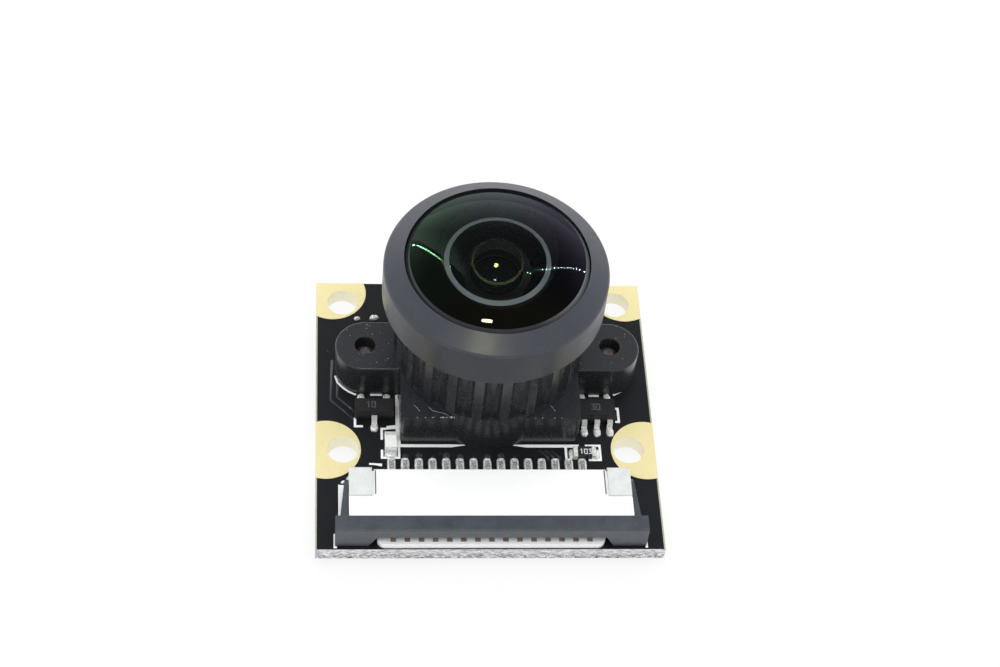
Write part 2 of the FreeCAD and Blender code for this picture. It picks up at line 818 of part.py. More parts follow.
def inner_glass(label, bottom, height, flat_rim, front_curve, rear_curve, rear_bulges):
    """A glass with a flat rim; its front bulges, and its rear bulges or is hollow."""
    body = lens_body(label)
    edge, top = inner_edge(), bottom + height
    face = edge - flat_rim
    rear_cap = cap_height(rear_curve, face)
    rear_middle = bottom - rear_cap if rear_bulges else bottom + rear_cap
    sketch = new_sketch(body, f"{label}_outline", "XZ_Plane")
    outline(sketch, [
        (0, rear_middle, rear_curve if rear_bulges else -rear_curve), (face, bottom), (edge, bottom),
        (edge, top), (face, top, front_curve), (0, top + cap_height(front_curve, face)),
    ])
    revolve(body, f"{label}_turned", sketch)
    return body


def plain_ring(label, bottom, height, wall):
    body = lens_body(label)
    sketch = new_sketch(body, f"{label}_outline", offset=bottom)
    circle(sketch, 0, 0, inner_edge())
    circle(sketch, 0, 0, inner_edge() - wall)
    pad(body, f"{label}_ring", sketch, height)
    return body


def retaining_ring(bottom):
    """The threaded ring over the second glass: two wrench slots, and a cone that narrows downwards."""
    body = lens_body("retaining_ring")
    edge = inner_edge()
    recess = edge - size("glass_rim")
    mouth = edge - size("retainer_wall")
    opening = mouth - size("retainer_cone_width")
    top = bottom + size("retainer_height")
    cone_end = top - size("retainer_cone_depth")
    lip = cone_end - size("retainer_lip")
    sketch = new_sketch(body, "retaining_ring_outline", "XZ_Plane")
    outline(sketch, [
        (recess, bottom), (edge, bottom), (edge, top), (mouth, top), (opening, cone_end), (opening, lip),
        (recess, lip),
    ])
    revolve(body, "retaining_ring_turned", sketch)
    slot = new_sketch(body, "wrench_slot_outline", offset=top)
    centred_rectangle(slot, stack_radius() * 2, size("retainer_slot_width"))
    pocket(body, "wrench_slots", slot, size("retainer_slot_depth"))
    return body


def aperture_stop(bottom):
    body = lens_body("aperture_stop")
    edge = inner_edge()
    inside = edge - size("stop_wall")
    web_low = bottom + (size("stop_height") - size("stop_web")) / 2
    web_high = web_low + size("stop_web")
    top = bottom + size("stop_height")
    sketch = new_sketch(body, "stop_outline", "XZ_Plane")
    outline(sketch, [
        (inside, bottom), (edge, bottom), (edge, top), (inside, top), (inside, web_high),
        (size("stop_opening"), web_high), (size("stop_opening"), web_low), (inside, web_low),
    ])
    revolve(body, "stop_turned", sketch)
    return body


def inner_stack():
    """The glasses and rings behind the front glass, each resting on the one below it."""
    level, height = stack_bottom(), size("rear_edge_height")
    rear = size("rear_curve")
    inner_glass("rear_glass", level, height, size("rear_rim"), rear, rear, True)
    level = level + height
    aperture_stop(level)
    level, height = level + size("stop_height"), size("third_edge_height")
    third = size("third_curve")
    inner_glass("third_glass", level, height, size("glass_rim"), third, third, True)
    level = level + height
    plain_ring("spacer_ring", level, size("spacer_height"), size("spacer_wall"))
    level, height = level + size("spacer_height"), size("second_edge_height")
    inner_glass(
        "second_glass", level, height, size("glass_rim"), size("second_front_curve"),
        size("second_rear_curve"), False,
    )
    retaining_ring(level + height)


# Connector

def pin_row(body, name, originals):
    return row_of(body, name, originals, size("pin_pitch"), size("pin_count"))


def first_pin_x():
    return -(size("pin_pitch") * (size("pin_count") - 1) / 2)


def connector_housing():
    body = connector_body("connector_housing")
    front, reach = -size("housing_depth"), -size("lip_reach")
    outer, half_slot = housing_width() / 2, slot_width() / 2
    half_lip, corner = half_slot - size("lip_side_inset"), size("lip_corner_radius")

    block = new_sketch(body, "housing_outline")
    rectangle(block, -outer, front, outer, 0)
    pad(body, "housing", block, housing_height())

    lip = new_sketch(body, "lip_outline")
    outline(lip, [
        (-half_lip, front), (-half_lip, reach + corner, corner), (-half_lip + corner, reach),
        (half_lip - corner, reach, corner), (half_lip, reach + corner), (half_lip, front),
    ])
    pad(body, "lip", lip, lip_height())

    slot = new_sketch(body, "ribbon_slot_outline", offset=lip_height())
    rectangle(slot, -half_slot, reach, half_slot, -size("slot_rear_wall"))
    pocket(body, "ribbon_slot", slot, size("slot_height"), up=True)

    floor = size("contact_run") - size("channel_under_gap")
    channel = new_sketch(body, "channel_outline", offset=floor)
    half = size("contact_width") / 2 + size("channel_clearance")
    middle = first_pin_x()
    rectangle(channel, middle - half, -channel_front(), middle + half, 0)
    cut = pocket(body, "channel", channel, lip_height() - floor, up=True)
    pin_row(body, "channels", [cut])

    recess = new_sketch(body, "tab_recess_outline", offset=housing_height())
    inner = outer - size("tab_width") - size("tab_slit")
    rectangle(recess, inner, -size("tab_front") - size("tab_slit"), outer, 0)
    first = pocket(body, "tab_recess", recess, size("tab_thickness"))
    groove = new_sketch(body, "arm_groove_outline", offset=size("arm_bottom") - size("hook_gap"))
    gap = size("hook_gap")
    hook_front = size("arm_rear") + size("hook_length")
    rectangle(
        groove, outer + size("arm_gap") - size("hook_reach") - gap, -hook_front - size("latch_travel") - gap,
        outer, -size("arm_rear") + gap,
    )
    second = pocket(body, "arm_groove", groove, size("arm_height") + gap * 2, up=True)
    mirror(body, "left_side", [first, second])
    return body


def connector_contacts():
    """Flat spring contacts: a soldered foot behind the housing and a raised tip inside the slot."""
    body = connector_body("connector_contacts")
    thick, run = size("contact_thickness"), size("contact_run")
    bump = size("contact_bump")
    tip = channel_front() - size("contact_tip_gap")
    bump_top = tip - size("contact_tip_length")
    bump_back = bump_top - size("contact_bump_length")
    sketch = new_sketch(body, "contact_outline", "YZ_Plane", first_pin_x())
    outline(sketch, [
        (size("contact_foot_end"), 0), (size("contact_foot_end"), thick),
        (size("contact_foot_start"), thick), (size("contact_rise_end"), run + thick),
        (-bump_back, run + thick), (-bump_top, run + thick + bump), (-tip, run + thick / 2),
        (-tip, run), (-bump_top, run + bump), (-bump_back, run),
        (size("contact_rise_end") - thick / 2, run), (size("contact_foot_start") - thick / 2, 0),
    ])
    first = pad(body, "contact", sketch, size("contact_width"), symmetric=True)
    pin_row(body, "contacts", [first])
    return body


def connector_tabs():
    """Two tinned strips that lie in the housing's rear corners and bend down to the board."""
    body = connector_body("connector_tabs")
    top, thick, rear = housing_height(), size("tab_thickness"), size("tab_rear")
    bend = size("tab_bend")
    outer_bend = bend + thick
    middle = (housing_width() - size("tab_width")) / 2
    sketch = new_sketch(body, "tab_outline", "YZ_Plane", middle)
    outline(sketch, [
        (-size("tab_front"), top - thick), (rear - outer_bend, top - thick, -bend),
        (rear - thick, top - outer_bend), (rear - thick, 0), (rear, 0),
        (rear, top - outer_bend, outer_bend), (rear - outer_bend, top), (-size("tab_front"), top),
    ])
    tab = pad(body, "tab", sketch, size("tab_width"), symmetric=True)
    mirror(body, "left_tab", [tab])
    return body


def connector_latch():
    """The dark slider: a bar with two feet, a tongue over the ribbon and two side arms with catches."""
    body = connector_body("connector_latch")
    half, foot = housing_width() / 2 + size("latch_side_overhang"), size("latch_foot_width")
    tongue_top = slot_top() - size("tongue_top_gap")
    low, high = size("latch_foot_bottom"), tongue_top - size("latch_tongue_overlap")
    top = housing_height() + size("latch_top_step")
    slope = size("latch_foot_slope")
    back = size("housing_depth") + size("latch_back_gap")
    front = back + size("latch_bar_depth")

    bar = new_sketch(body, "bar_outline", "XZ_Plane", back)
    outline(bar, [
        (-half, low), (-half + foot, low), (-half + foot + slope, high), (half - foot - slope, high),
        (half - foot, low), (half, low), (half, top), (-half, top),
    ])
    pad(body, "bar", bar, size("latch_bar_depth"))
    soften(
        body, "Fillet", "bar_edge", size("latch_edge_radius"),
        lambda edge: close_to(edge.BoundBox.ZMin, top.number) and close_to(edge.BoundBox.YMax, -front.number),
    )

    tongue = new_sketch(body, "tongue_outline", offset=tongue_top)
    half_tongue = slot_width() / 2 - size("tongue_side_gap")
    rectangle(
        tongue, -half_tongue, -front + size("tongue_front_inset"), half_tongue, -size("tongue_rear"),
    )
    pad(body, "tongue", tongue, size("tongue_thickness"), down=True)

    arm = new_sketch(body, "arm_outline", offset=size("arm_bottom"))
    inner = housing_width() / 2 + size("arm_gap")
    rear, hook = -size("arm_rear"), size("hook_length")
    outline(arm, [
        (inner, -back), (inner, rear - hook), (inner - size("hook_reach"), rear - hook),
        (inner - size("hook_reach"), rear - hook / 2), (inner, rear),
        (inner + size("arm_rear_thickness"), rear), (inner + size("arm_front_thickness"), -back),
    ])
    side = pad(body, "arm", arm, size("arm_height"))
    mirror(body, "left_arm", [side])
    return body


# Small chips and parts

def drafted_block(body, name, width, depth, bottom, height):
    """A moulded block, widest halfway up."""
    middle = bottom + height / 2
    for part, down in (("upper", False), ("lower", True)):
        sketch = new_sketch(body, f"{name}_{part}_outline", offset=middle)
        centred_rectangle(sketch, width, depth)
        made = pad(body, f"{name}_{part}", sketch, height / 2, down=down)
        made.TaperAngle = -size("chip_draft").number
        made.setExpression("TaperAngle", f"(0 - {size('chip_draft').formula}) * 1 deg")


def chip(name, front_leads, rear_leads):
    """A small plastic chip and its bent leads; leads are counted in pitches from the middle."""
    place = (size(f"{name}_x"), size(f"{name}_y"), board_top())
    depth, height = size(f"{name}_depth"), size(f"{name}_height")
    width = (size("chip_pin_pitch") + size(f"{name}_end")) * 2
    body = new_body(f"{name}_chip", *place)
    drafted_block(body, f"{name}_body", width, depth, size("chip_standoff"), height)

    leads = new_body(f"{name}_leads", *place)
    thick, wall = size("lead_thickness"), depth / 2
    level = size("chip_standoff") + (height - thick) / 2
    tip = wall + size(f"{name}_reach")
    knee = tip - size("lead_foot")
    for side, steps in ((-1, front_leads), (1, rear_leads)):
        for step in steps:
            sketch = new_sketch(
                leads, f"lead_{'front' if side < 0 else 'rear'}_{step + 1}_outline", "YZ_Plane",
                size("chip_pin_pitch") * step,
            )
            corners = [
                (tip, 0), (knee, 0), (wall + thick, level), (wall, level), (wall, level + thick),
                (wall + thick * 2, level + thick), (knee + thick, thick), (tip, thick),
            ]
            outline(sketch, [(y * side, z) for y, z in corners])
            pad(leads, sketch.Name.replace("_outline", ""), sketch, size("lead_width"), symmetric=True)
    return body


def end_capped_part(name, turn):
    """A small block part with metal caps round its two ends."""
    place = (size(f"{name}_x"), size(f"{name}_y"), board_top())
    length, width, height = (size(f"{name}_{part}") for part in ("length", "width", "height"))
    cap, skin = size("end_cap_length"), size("end_cap_skin")

    body = new_body(f"{name}_body", *place, turn=turn)
    sketch = new_sketch(body, f"{name}_body_outline", offset=skin)
    centred_rectangle(sketch, length - cap * 2, width)
    pad(body, f"{name}_block", sketch, height)

    caps = new_body(f"{name}_ends", *place, turn=turn)
    sketch = new_sketch(caps, f"{name}_end_outline")
    half, half_width = length / 2, width / 2 + skin
    rectangle(sketch, half - cap, -half_width, half, half_width)
    end = pad(caps, f"{name}_end", sketch, height + skin * 2)
    mirror(caps, f"{name}_other_end", [end])
    return body


# Check and write

def check_document():
    doc.recompute()
    failed = [item.Label for item in doc.Objects if {"Invalid", "Error"} & set(item.State)]
    if failed:
        raise RuntimeError(f"failed objects: {failed}")
    for node in nodes:
        if node.Shape.isNull() or not node.Shape.isValid() or not node.Shape.Solids:
            raise RuntimeError(f"bad shape: {node.Label}")


def write_parts():
    os.makedirs("parts", exist_ok=True)
    for node in nodes:
        node.Shape.exportStep(os.path.join("parts", f"{node.Label}.step"))
        print(f"{node.Label}: {len(node.Shape.Solids)} solid(s), {node.Shape.Volume:.3f} mm3")


fill_sheet()
circuit_board()
hole_pads()
lens_mount()
mount_screws()
sensor_stack()
lens_barrel()
front_glass()
inner_stack()
connector_housing()
connector_contacts()
connector_tabs()
connector_latch()
chip("three_pin", (0,), (-1, 1))
chip("five_pin", (-1, 0, 1), (-1, 1))
end_capped_part("led", 90)
end_capped_part("resistor", 0)
check_document()
write_parts()
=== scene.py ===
import math
import random

import bmesh
import bpy
from mathutils import Matrix, Quaternion, Vector


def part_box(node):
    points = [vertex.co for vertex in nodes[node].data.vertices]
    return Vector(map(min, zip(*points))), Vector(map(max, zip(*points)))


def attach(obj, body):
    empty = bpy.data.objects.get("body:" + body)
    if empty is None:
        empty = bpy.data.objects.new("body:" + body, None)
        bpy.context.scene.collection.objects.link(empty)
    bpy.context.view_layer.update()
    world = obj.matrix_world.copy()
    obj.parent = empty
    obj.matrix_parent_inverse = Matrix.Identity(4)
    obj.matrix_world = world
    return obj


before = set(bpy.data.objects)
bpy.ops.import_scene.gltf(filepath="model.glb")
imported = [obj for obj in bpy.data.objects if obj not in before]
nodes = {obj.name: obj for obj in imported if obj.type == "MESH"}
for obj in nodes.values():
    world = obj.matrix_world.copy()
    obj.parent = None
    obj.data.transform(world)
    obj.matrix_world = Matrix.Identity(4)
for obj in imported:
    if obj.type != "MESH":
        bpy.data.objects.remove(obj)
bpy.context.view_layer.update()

MM = 0.001
dice = random.Random(7)


# Places taken from the CAD model, in metres

board_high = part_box("circuit_board")[1]
BOARD_TOP = board_high.z
HALF_WIDTH = board_high.x
barrel_low, barrel_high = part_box("lens_barrel")
AXIS = Vector(((barrel_low.x + barrel_high.x) / 2, (barrel_low.y + barrel_high.y) / 2, BOARD_TOP))


def on_board(x, y, height=0.0):
    """A point given in millimetres: from the middle of the board, and above its top."""
    return Vector((x * MM, y * MM, BOARD_TOP + height * MM))


# Materials

def srgb(red, green, blue):
    """A screen colour from 0 to 255 as linear light."""
    def one(value):
        share = value / 255
        return share / 12.92 if share <= 0.04045 else ((share + 0.055) / 1.055) ** 2.4
    return one(red), one(green), one(blue), 1.0


def grey(value):
    return value, value, value, 1.0


class Finish:
    """A node material that is put together a step at a time. Sizes are in millimetres."""

    def __init__(self, name):
        self.material = bpy.data.materials.new(name)
        self.material.use_nodes = True
        self.tree = self.material.node_tree
        self.tree.nodes.clear()
        coordinates = self.node("TexCoord")
        self.place = coordinates.outputs["Object"]
        self.normal = coordinates.outputs["Normal"]

    def node(self, kind, inputs=None, **settings):
        made = self.tree.nodes.new("ShaderNode" + kind)
        for key, value in settings.items():
            setattr(made, key, value)
        for key, value in (inputs or {}).items():
            self.put(made.inputs[key], value)
        return made

    def put(self, socket, value):
        if isinstance(value, bpy.types.NodeSocket):
            self.tree.links.new(value, socket)
        else:
            socket.default_value = value

    def math(self, operation, first, second=0.0, third=0.0):
        return self.node("Math", {0: first, 1: second, 2: third}, operation=operation).outputs[0]

    def split(self, vector):
        parts = self.node("SeparateXYZ", {0: vector})
        return parts.outputs[0], parts.outputs[1], parts.outputs[2]

    def stretched(self, along_x, along_y, along_z):
        """Object coordinates drawn out by these factors."""
        scale = (1 / along_x, 1 / along_y, 1 / along_z)
        return self.node("VectorMath", {0: self.place, 1: scale}, operation="MULTIPLY").outputs[0]

    def noise(self, size, detail=3.0, roughness=0.55, place=None):
        inputs = {
            "Vector": place or self.place, "Scale": 1 / (size * MM), "Detail": detail, "Roughness": roughness,
            "W": 0.0,
        }
        return self.node("TexNoise", inputs, noise_dimensions="4D").outputs[0]

    def spread(self, value, low, high, to_low=0.0, to_high=1.0):
        """The value from low to high, drawn out to another range and clamped."""
        return self.node(
            "MapRange", {0: value, 1: low, 2: high, 3: to_low, 4: to_high}
        ).outputs[0]

    def blend(self, share, first, second):
        made = self.node("Mix", data_type="RGBA")
        self.put(made.inputs[0], share)
        self.put(made.inputs[6], first)
        self.put(made.inputs[7], second)
        return made.outputs[2]

    def bump(self, height, depth, under=None):
        """Relief of this depth in millimetres where the height goes from 0 to 1."""
        inputs = {"Height": height, "Distance": depth * MM, "Strength": 1.0}
        if under:
            inputs["Normal"] = under
        return self.node("Bump", inputs).outputs[0]

    def surface(self, **inputs):
        named = {key.replace("_", " "): value for key, value in inputs.items()}
        return self.node("BsdfPrincipled", named).outputs[0]

    def mixed(self, share, first, second):
        return self.node("MixShader", {0: share, 1: first, 2: second}).outputs[0]

    def done(self, shader):
        output = self.node("OutputMaterial")
        self.put(output.inputs[0], shader)
        return self.material


def polar(finish, centre):
    """Distance from an upright axis, and height, in metres."""
    moved = finish.node(
        "VectorMath", {0: finish.place, 1: (centre.x, centre.y, 0)}, operation="SUBTRACT"
    ).outputs[0]
    flat = finish.node("VectorMath", {0: moved, 1: (1, 1, 0)}, operation="MULTIPLY").outputs[0]
    radius = finish.node("VectorMath", {0: flat}, operation="LENGTH").outputs["Value"]
    return moved, radius, finish.split(finish.place)[2]


def both(finish, *shares):
    """All of these shares at once."""
    result = shares[0]
    for share in shares[1:]:
        result = finish.math("MULTIPLY", result, share)
    return result


def above(finish, value, limit, soft=0.0):
    """0 below the limit and 1 above it, soft being the width of the change."""
    if soft:
        return finish.spread(value, limit - soft / 2, limit + soft / 2)
    return finish.math("GREATER_THAN", value, limit)


def solder_mask():
    """Black lacquer on top and underneath, bare glass laminate at the cut edges."""
    f = Finish("solder_mask")
    x, y, z = f.split(f.place)
    upright = f.math("LESS_THAN", f.math("ABSOLUTE", f.split(f.normal)[2]), 0.5)
    pulled_back = above(f, f.math("ABSOLUTE", x), HALF_WIDTH - 0.11 * MM, 0.03 * MM)
    laminate = f.math("MAXIMUM", upright, pulled_back)

    cloudy = f.noise(1.7, 4)
    lacquer = f.blend(cloudy, srgb(18, 21, 25), srgb(28, 31, 36))
    weave = f.noise(0.26, 3, 0.65, place=f.stretched(2.2, 2.2, 0.8))
    crumbs = f.spread(f.noise(0.16, 3, 0.7, place=f.stretched(1.8, 1.8, 1.0)), 0.44, 0.6)
    lower = f.spread(z, BOARD_TOP - 1.05 * MM, BOARD_TOP - 0.35 * MM, 1.0, 0.25)
    resin = f.blend(f.spread(weave, 0.38, 0.6), srgb(186, 184, 198), srgb(252, 252, 248))
    resin = f.blend(f.math("MULTIPLY", crumbs, lower), resin, srgb(112, 102, 118))
    margin = f.blend(f.noise(0.5), srgb(150, 158, 140), srgb(196, 204, 180))
    bare = f.blend(upright, margin, resin)
    colour = f.blend(laminate, lacquer, bare)

    roughness = f.spread(f.noise(0.8, 3), 0.3, 0.7, 0.3, 0.46)
    roughness = f.math("MAXIMUM", roughness, f.math("MULTIPLY", laminate, 0.8))
    skin = f.bump(f.noise(0.35, 2), 0.004)
    torn = f.math("MULTIPLY", upright, f.noise(0.13, 4, 0.7))
    skin = f.bump(torn, 0.05, skin)
    return f.done(f.surface(
        Base_Color=colour, Roughness=roughness, Normal=skin, Specular_IOR_Level=0.28,
    ))


def gold_plating():
    f = Finish("gold_plating")
    tone = f.blend(f.noise(0.9, 3), srgb(250, 236, 170), srgb(255, 244, 192))
    stain = f.spread(f.noise(0.28, 4, 0.65), 0.58, 0.75)
    tone = f.blend(f.math("MULTIPLY", stain, 0.25), tone, srgb(196, 176, 118))
    # The plating inside the holes is painted near white: a painted glow where little light reaches in.
    painted_glow_lining = f.math("LESS_THAN", f.math("ABSOLUTE", f.split(f.normal)[2]), 0.5)
    tone = f.blend(painted_glow_lining, tone, srgb(255, 250, 226))
    grain = f.bump(f.noise(0.12, 3), 0.004)
    roughness = f.spread(f.noise(0.5, 3), 0.3, 0.7, 0.34, 0.5)
    metallic = f.math("MULTIPLY_ADD", painted_glow_lining, 0.4, 0.25)
    return f.done(f.surface(Base_Color=tone, Metallic=metallic, Roughness=roughness, Normal=grain))


def black_moulding():
    """Glass-filled plastic: nearly black, with a faint sparkle of fibres and moulding dust."""
    f = Finish("black_moulding")
    level = above(f, f.split(f.normal)[2], 0.6, 0.5)
    tone = f.blend(f.noise(1.3, 4), srgb(35, 38, 41), srgb(46, 49, 53))
    # Faces that point up are painted a little paler: painted light from above.
    tone = f.blend(f.math("MULTIPLY", level, 0.6), tone, srgb(46, 49, 55))
    dusty = both(f, level, f.spread(f.noise(0.06, 2, 0.8), 0.62, 0.72))
    tone = f.blend(f.math("MULTIPLY", dusty, 0.4), tone, srgb(130, 130, 132))
    roughness = f.spread(f.noise(0.5, 3), 0.3, 0.7, 0.2, 0.3)
    grain = f.bump(f.noise(0.5, 2), 0.002)
    return f.done(f.surface(Base_Color=tone, Roughness=roughness, Normal=grain, Specular_IOR_Level=0.5))


# The barrel, in millimetres

HEAD_INSIDE = 6.58
SHANK = (5.8, 6.1)
THREAD_PITCH = 0.5
THREAD_DEPTH = 0.4


def black_anodised():
    """Matte black metal with the marks of turning, painted paler on the cone as painted light from above, and
    a screw thread on its shank.
    """
    f = Finish("black_anodised")
    moved, radius, z = polar(f, AXIS)
    outside = above(f, radius, HEAD_INSIDE * MM)
    cloud = f.noise(1.1, 4)
    # Faces that point up, the cone, are painted paler than the walls: painted light from above.
    tone = f.blend(
        above(f, f.split(f.normal)[2], 0.3, 0.3), f.blend(cloud, srgb(38, 41, 47), srgb(47, 50, 57)),
        f.blend(cloud, srgb(58, 61, 69), srgb(68, 71, 80)),
    )
    specks = f.spread(f.noise(0.06, 2, 0.8), 0.63, 0.72)
    tone = f.blend(f.math("MULTIPLY", specks, 0.4), tone, srgb(150, 152, 156))
    tone = f.blend(outside, srgb(14, 14, 15), tone)

    profile = f.node("CombineXYZ", {0: f.math("MULTIPLY", radius, 2.2), 1: z}).outputs[0]
    rings = f.node("TexWave", {
        "Vector": profile, "Scale": 1 / (1.3 * MM), "Distortion": 0.6, "Detail": 2.0, "Detail Scale": 2.0,
    }).outputs[1]
    turned = f.bump(rings, 0.0015)
    turned = f.bump(f.noise(0.09, 3, 0.7), 0.003, turned)
    x, y, _ = f.split(moved)
    turn = f.math("DIVIDE", f.math("ARCTAN2", y, x), 2 * math.pi)
    pitch_phase = f.math("FRACT", f.math("ADD", f.math("DIVIDE", z, THREAD_PITCH * MM), turn))
    ridge = f.math("PINGPONG", pitch_phase, 0.5)
    on_shank = both(f, f.math("LESS_THAN", radius, SHANK[1] * MM), above(f, radius, SHANK[0] * MM))
    turned = f.bump(f.math("MULTIPLY", ridge, on_shank), THREAD_DEPTH, turned)
    roughness = f.spread(f.noise(0.9, 3), 0.3, 0.7, 0.3, 0.36)
    return f.done(f.surface(Base_Color=tone, Roughness=roughness, Normal=turned, Specular_IOR_Level=0.36))


# The front glass: its refractive index, then radii from the axis and heights above the board in millimetres

GLASS_BENDING = 1.62
GLASS_EDGE = 6.5
GLASS_SEAT = 11.9
HOLLOW_RIM = (3.04, 3.34)
HOLLOW_TOP = 14.4
BEVEL_RADIUS, BEVEL_HEIGHT = 6.26, 13.08
CLEAR_RADIUS = (4.12, 4.24)
CLEAR_SQUEEZE = 0.82


def dome_glass():
    """The front glass: a coated dome, a polished bevel, a ground rim behind, and black paint on the rest.

    It is clear in the middle. Further out it is nearly black, as only black paint lies behind it there. The
    clear zone reaches further towards the front, where the rim is seen through the slope of the dome.
    """
    f = Finish("clear_glass")
    moved, radius, z = polar(f, AXIS)
    x, y, _ = f.split(moved)
    bevel = both(f, above(f, radius, BEVEL_RADIUS * MM), above(f, z, BOARD_TOP + BEVEL_HEIGHT * MM))
    low = f.math("LESS_THAN", z, BOARD_TOP + (GLASS_SEAT + 0.16) * MM)
    beyond_hollow = above(f, radius, HOLLOW_RIM[0] * MM)
    within_rim = f.math("LESS_THAN", radius, HOLLOW_RIM[1] * MM)
    rim = both(f, low, beyond_hollow, within_rim)
    on_edge = f.math("LESS_THAN", f.math("ABSOLUTE", f.split(f.normal)[2]), 0.3)
    side = both(f, on_edge, above(f, radius, GLASS_EDGE * MM))
    painted = f.math("MAXIMUM", both(f, low, beyond_hollow), side)
    hollow = both(f, f.math("LESS_THAN", z, BOARD_TOP + HOLLOW_TOP * MM), within_rim)
    steepness = f.node("LayerWeight", {"Blend": 0.5}).outputs["Facing"]
    mirrored = f.math("MULTIPLY_ADD", f.math("POWER", steepness, 3.3), 0.35, 0.016)
    mirrored = f.math("MAXIMUM", mirrored, f.math("MULTIPLY", hollow, 0.09))
    left = f.spread(x, -4.6 * MM, -0.8 * MM, 1.0, 0.0)
    right = f.spread(x, 0.6 * MM, 4.8 * MM)
    coat = f.blend(left, (0.62, 0.74, 0.78, 1.0), (0.60, 0.98, 0.72, 1.0))
    coat = f.blend(right, coat, (0.46, 0.42, 0.62, 1.0))
    coat = f.blend(f.spread(y, -5.0 * MM, -3.4 * MM, 1.0, 0.0), coat, (0.72, 0.74, 0.5, 1.0))
    coat = f.blend(f.spread(f.noise(2.1, 3), 0.3, 0.7, 0.12, 0.0), coat, grey(0.2))
    coat = f.blend(hollow, coat, (0.75, 0.95, 0.35, 1.0))
    shine = f.node("BsdfGlossy", {"Color": coat, "Roughness": 0.02}).outputs[0]
    front_y = f.math("MULTIPLY", f.math("MINIMUM", y, 0.0), CLEAR_SQUEEZE)
    squeezed = f.node("CombineXYZ", {0: x, 1: f.math("ADD", f.math("MAXIMUM", y, 0.0), front_y)}).outputs[0]
    reach = f.node("VectorMath", {0: squeezed}, operation="LENGTH").outputs["Value"]
    beyond_clear = f.spread(reach, CLEAR_RADIUS[0] * MM, CLEAR_RADIUS[1] * MM)
    clear = f.blend(beyond_clear, grey(0.72), grey(0.04))
    through = f.node("BsdfRefraction", {"Color": clear, "Roughness": 0.0, "IOR": GLASS_BENDING}).outputs[0]
    glass = f.mixed(mirrored, through, shine)

    # The polished bevel's colour is a painted sheen, paler towards the right: a painted reflection.
    painted_sheen = f.blend(f.noise(0.4, 3), srgb(34, 36, 38), srgb(46, 49, 52))
    painted_sheen = f.blend(f.spread(x, 2.5 * MM, 5.5 * MM), painted_sheen, srgb(92, 96, 98))
    polished = f.surface(Base_Color=painted_sheen, Roughness=0.2, Normal=f.bump(f.noise(0.2, 2), 0.002))
    ground = f.blend(f.noise(0.5, 3), srgb(112, 124, 130), srgb(140, 150, 155))
    # Towards the front the ground rim takes one even pale tone: painted light where less light reaches it.
    ground = f.blend(f.spread(y, -3.2 * MM, 0.5 * MM, 1.0, 0.0), ground, srgb(134, 146, 152))
    paint = f.blend(rim, f.blend(f.noise(0.4, 3), srgb(6, 6, 7), srgb(12, 12, 13)), ground)
    behind = f.surface(Base_Color=paint, Roughness=0.6, Specular_IOR_Level=0.2)
    return f.done(f.mixed(painted, f.mixed(bevel, glass, polished), behind))


def inner_glass(name, coat, share, bent=True):
    """A coated glass inside the lens: clear, with a coloured reflection of at least this share."""
    f = Finish(name)
    steepness = f.node("LayerWeight", {"Blend": 0.5}).outputs["Facing"]
    mirrored = f.math("MULTIPLY_ADD", f.math("POWER", steepness, 5.0), 0.3, share)
    colour = f.blend(f.spread(f.noise(1.1, 2), 0.3, 0.7, 0.0, 0.2), coat, grey(0.6))
    shine = f.node("BsdfGlossy", {"Color": colour, "Roughness": 0.015}).outputs[0]
    if bent:
        through = f.node("BsdfRefraction", {"Color": grey(0.9), "Roughness": 0.0, "IOR": 1.6}).outputs[0]
    else:
        through = f.node("BsdfTransparent", {"Color": grey(0.95)}).outputs[0]
    return f.done(f.mixed(mirrored, through, shine))


def plain(name, low, high, size=0.6, roughness=(0.4, 0.55), depth=0.004, grain=0.12, metallic=0.0,
          specular=0.5, fleck=None):
    """A surface that varies softly between two colours, over a fine grain."""
    f = Finish(name)
    tone = f.blend(f.spread(f.noise(size, 4), 0.3, 0.7), low, high)
    if fleck:
        tone = f.blend(f.math("MULTIPLY", f.spread(f.noise(grain, 3, 0.7), 0.55, 0.7), 0.5), tone, fleck)
    rough = f.spread(f.noise(size * 0.6, 3), 0.3, 0.7, *roughness)
    relief = f.bump(f.noise(grain, 3, 0.6), depth)
    return f.done(f.surface(
        Base_Color=tone, Roughness=rough, Normal=relief, Metallic=metallic, Specular_IOR_Level=specular,
    ))


def white_nylon():
    f = Finish("white_nylon")
    tone = f.blend(f.noise(1.6, 4), srgb(246, 248, 248), srgb(253, 254, 253))
    specks = f.spread(f.noise(0.1, 2, 0.8), 0.66, 0.74)
    tone = f.blend(f.math("MULTIPLY", specks, 0.3), tone, srgb(196, 196, 190))
    relief = f.bump(f.noise(0.14, 3), 0.004)
    return f.done(f.surface(
        Base_Color=tone, Roughness=0.42, Normal=relief, Subsurface_Weight=0.15,
        Subsurface_Radius=(0.4, 0.36, 0.32), Subsurface_Scale=0.5 * MM,
    ))


def solder():
    """Bright solder with dull grey grains."""
    f = Finish("solder")
    tone = f.blend(f.spread(f.noise(0.25, 4), 0.35, 0.6), srgb(196, 198, 198), srgb(255, 255, 252))
    grains = f.spread(f.noise(0.13, 3, 0.7), 0.56, 0.66)
    tone = f.blend(f.math("MULTIPLY", grains, 0.7), tone, srgb(84, 86, 88))
    relief = f.bump(f.noise(0.13, 3), 0.02)
    return f.done(f.surface(Base_Color=tone, Metallic=0.2, Roughness=0.22, Normal=relief))


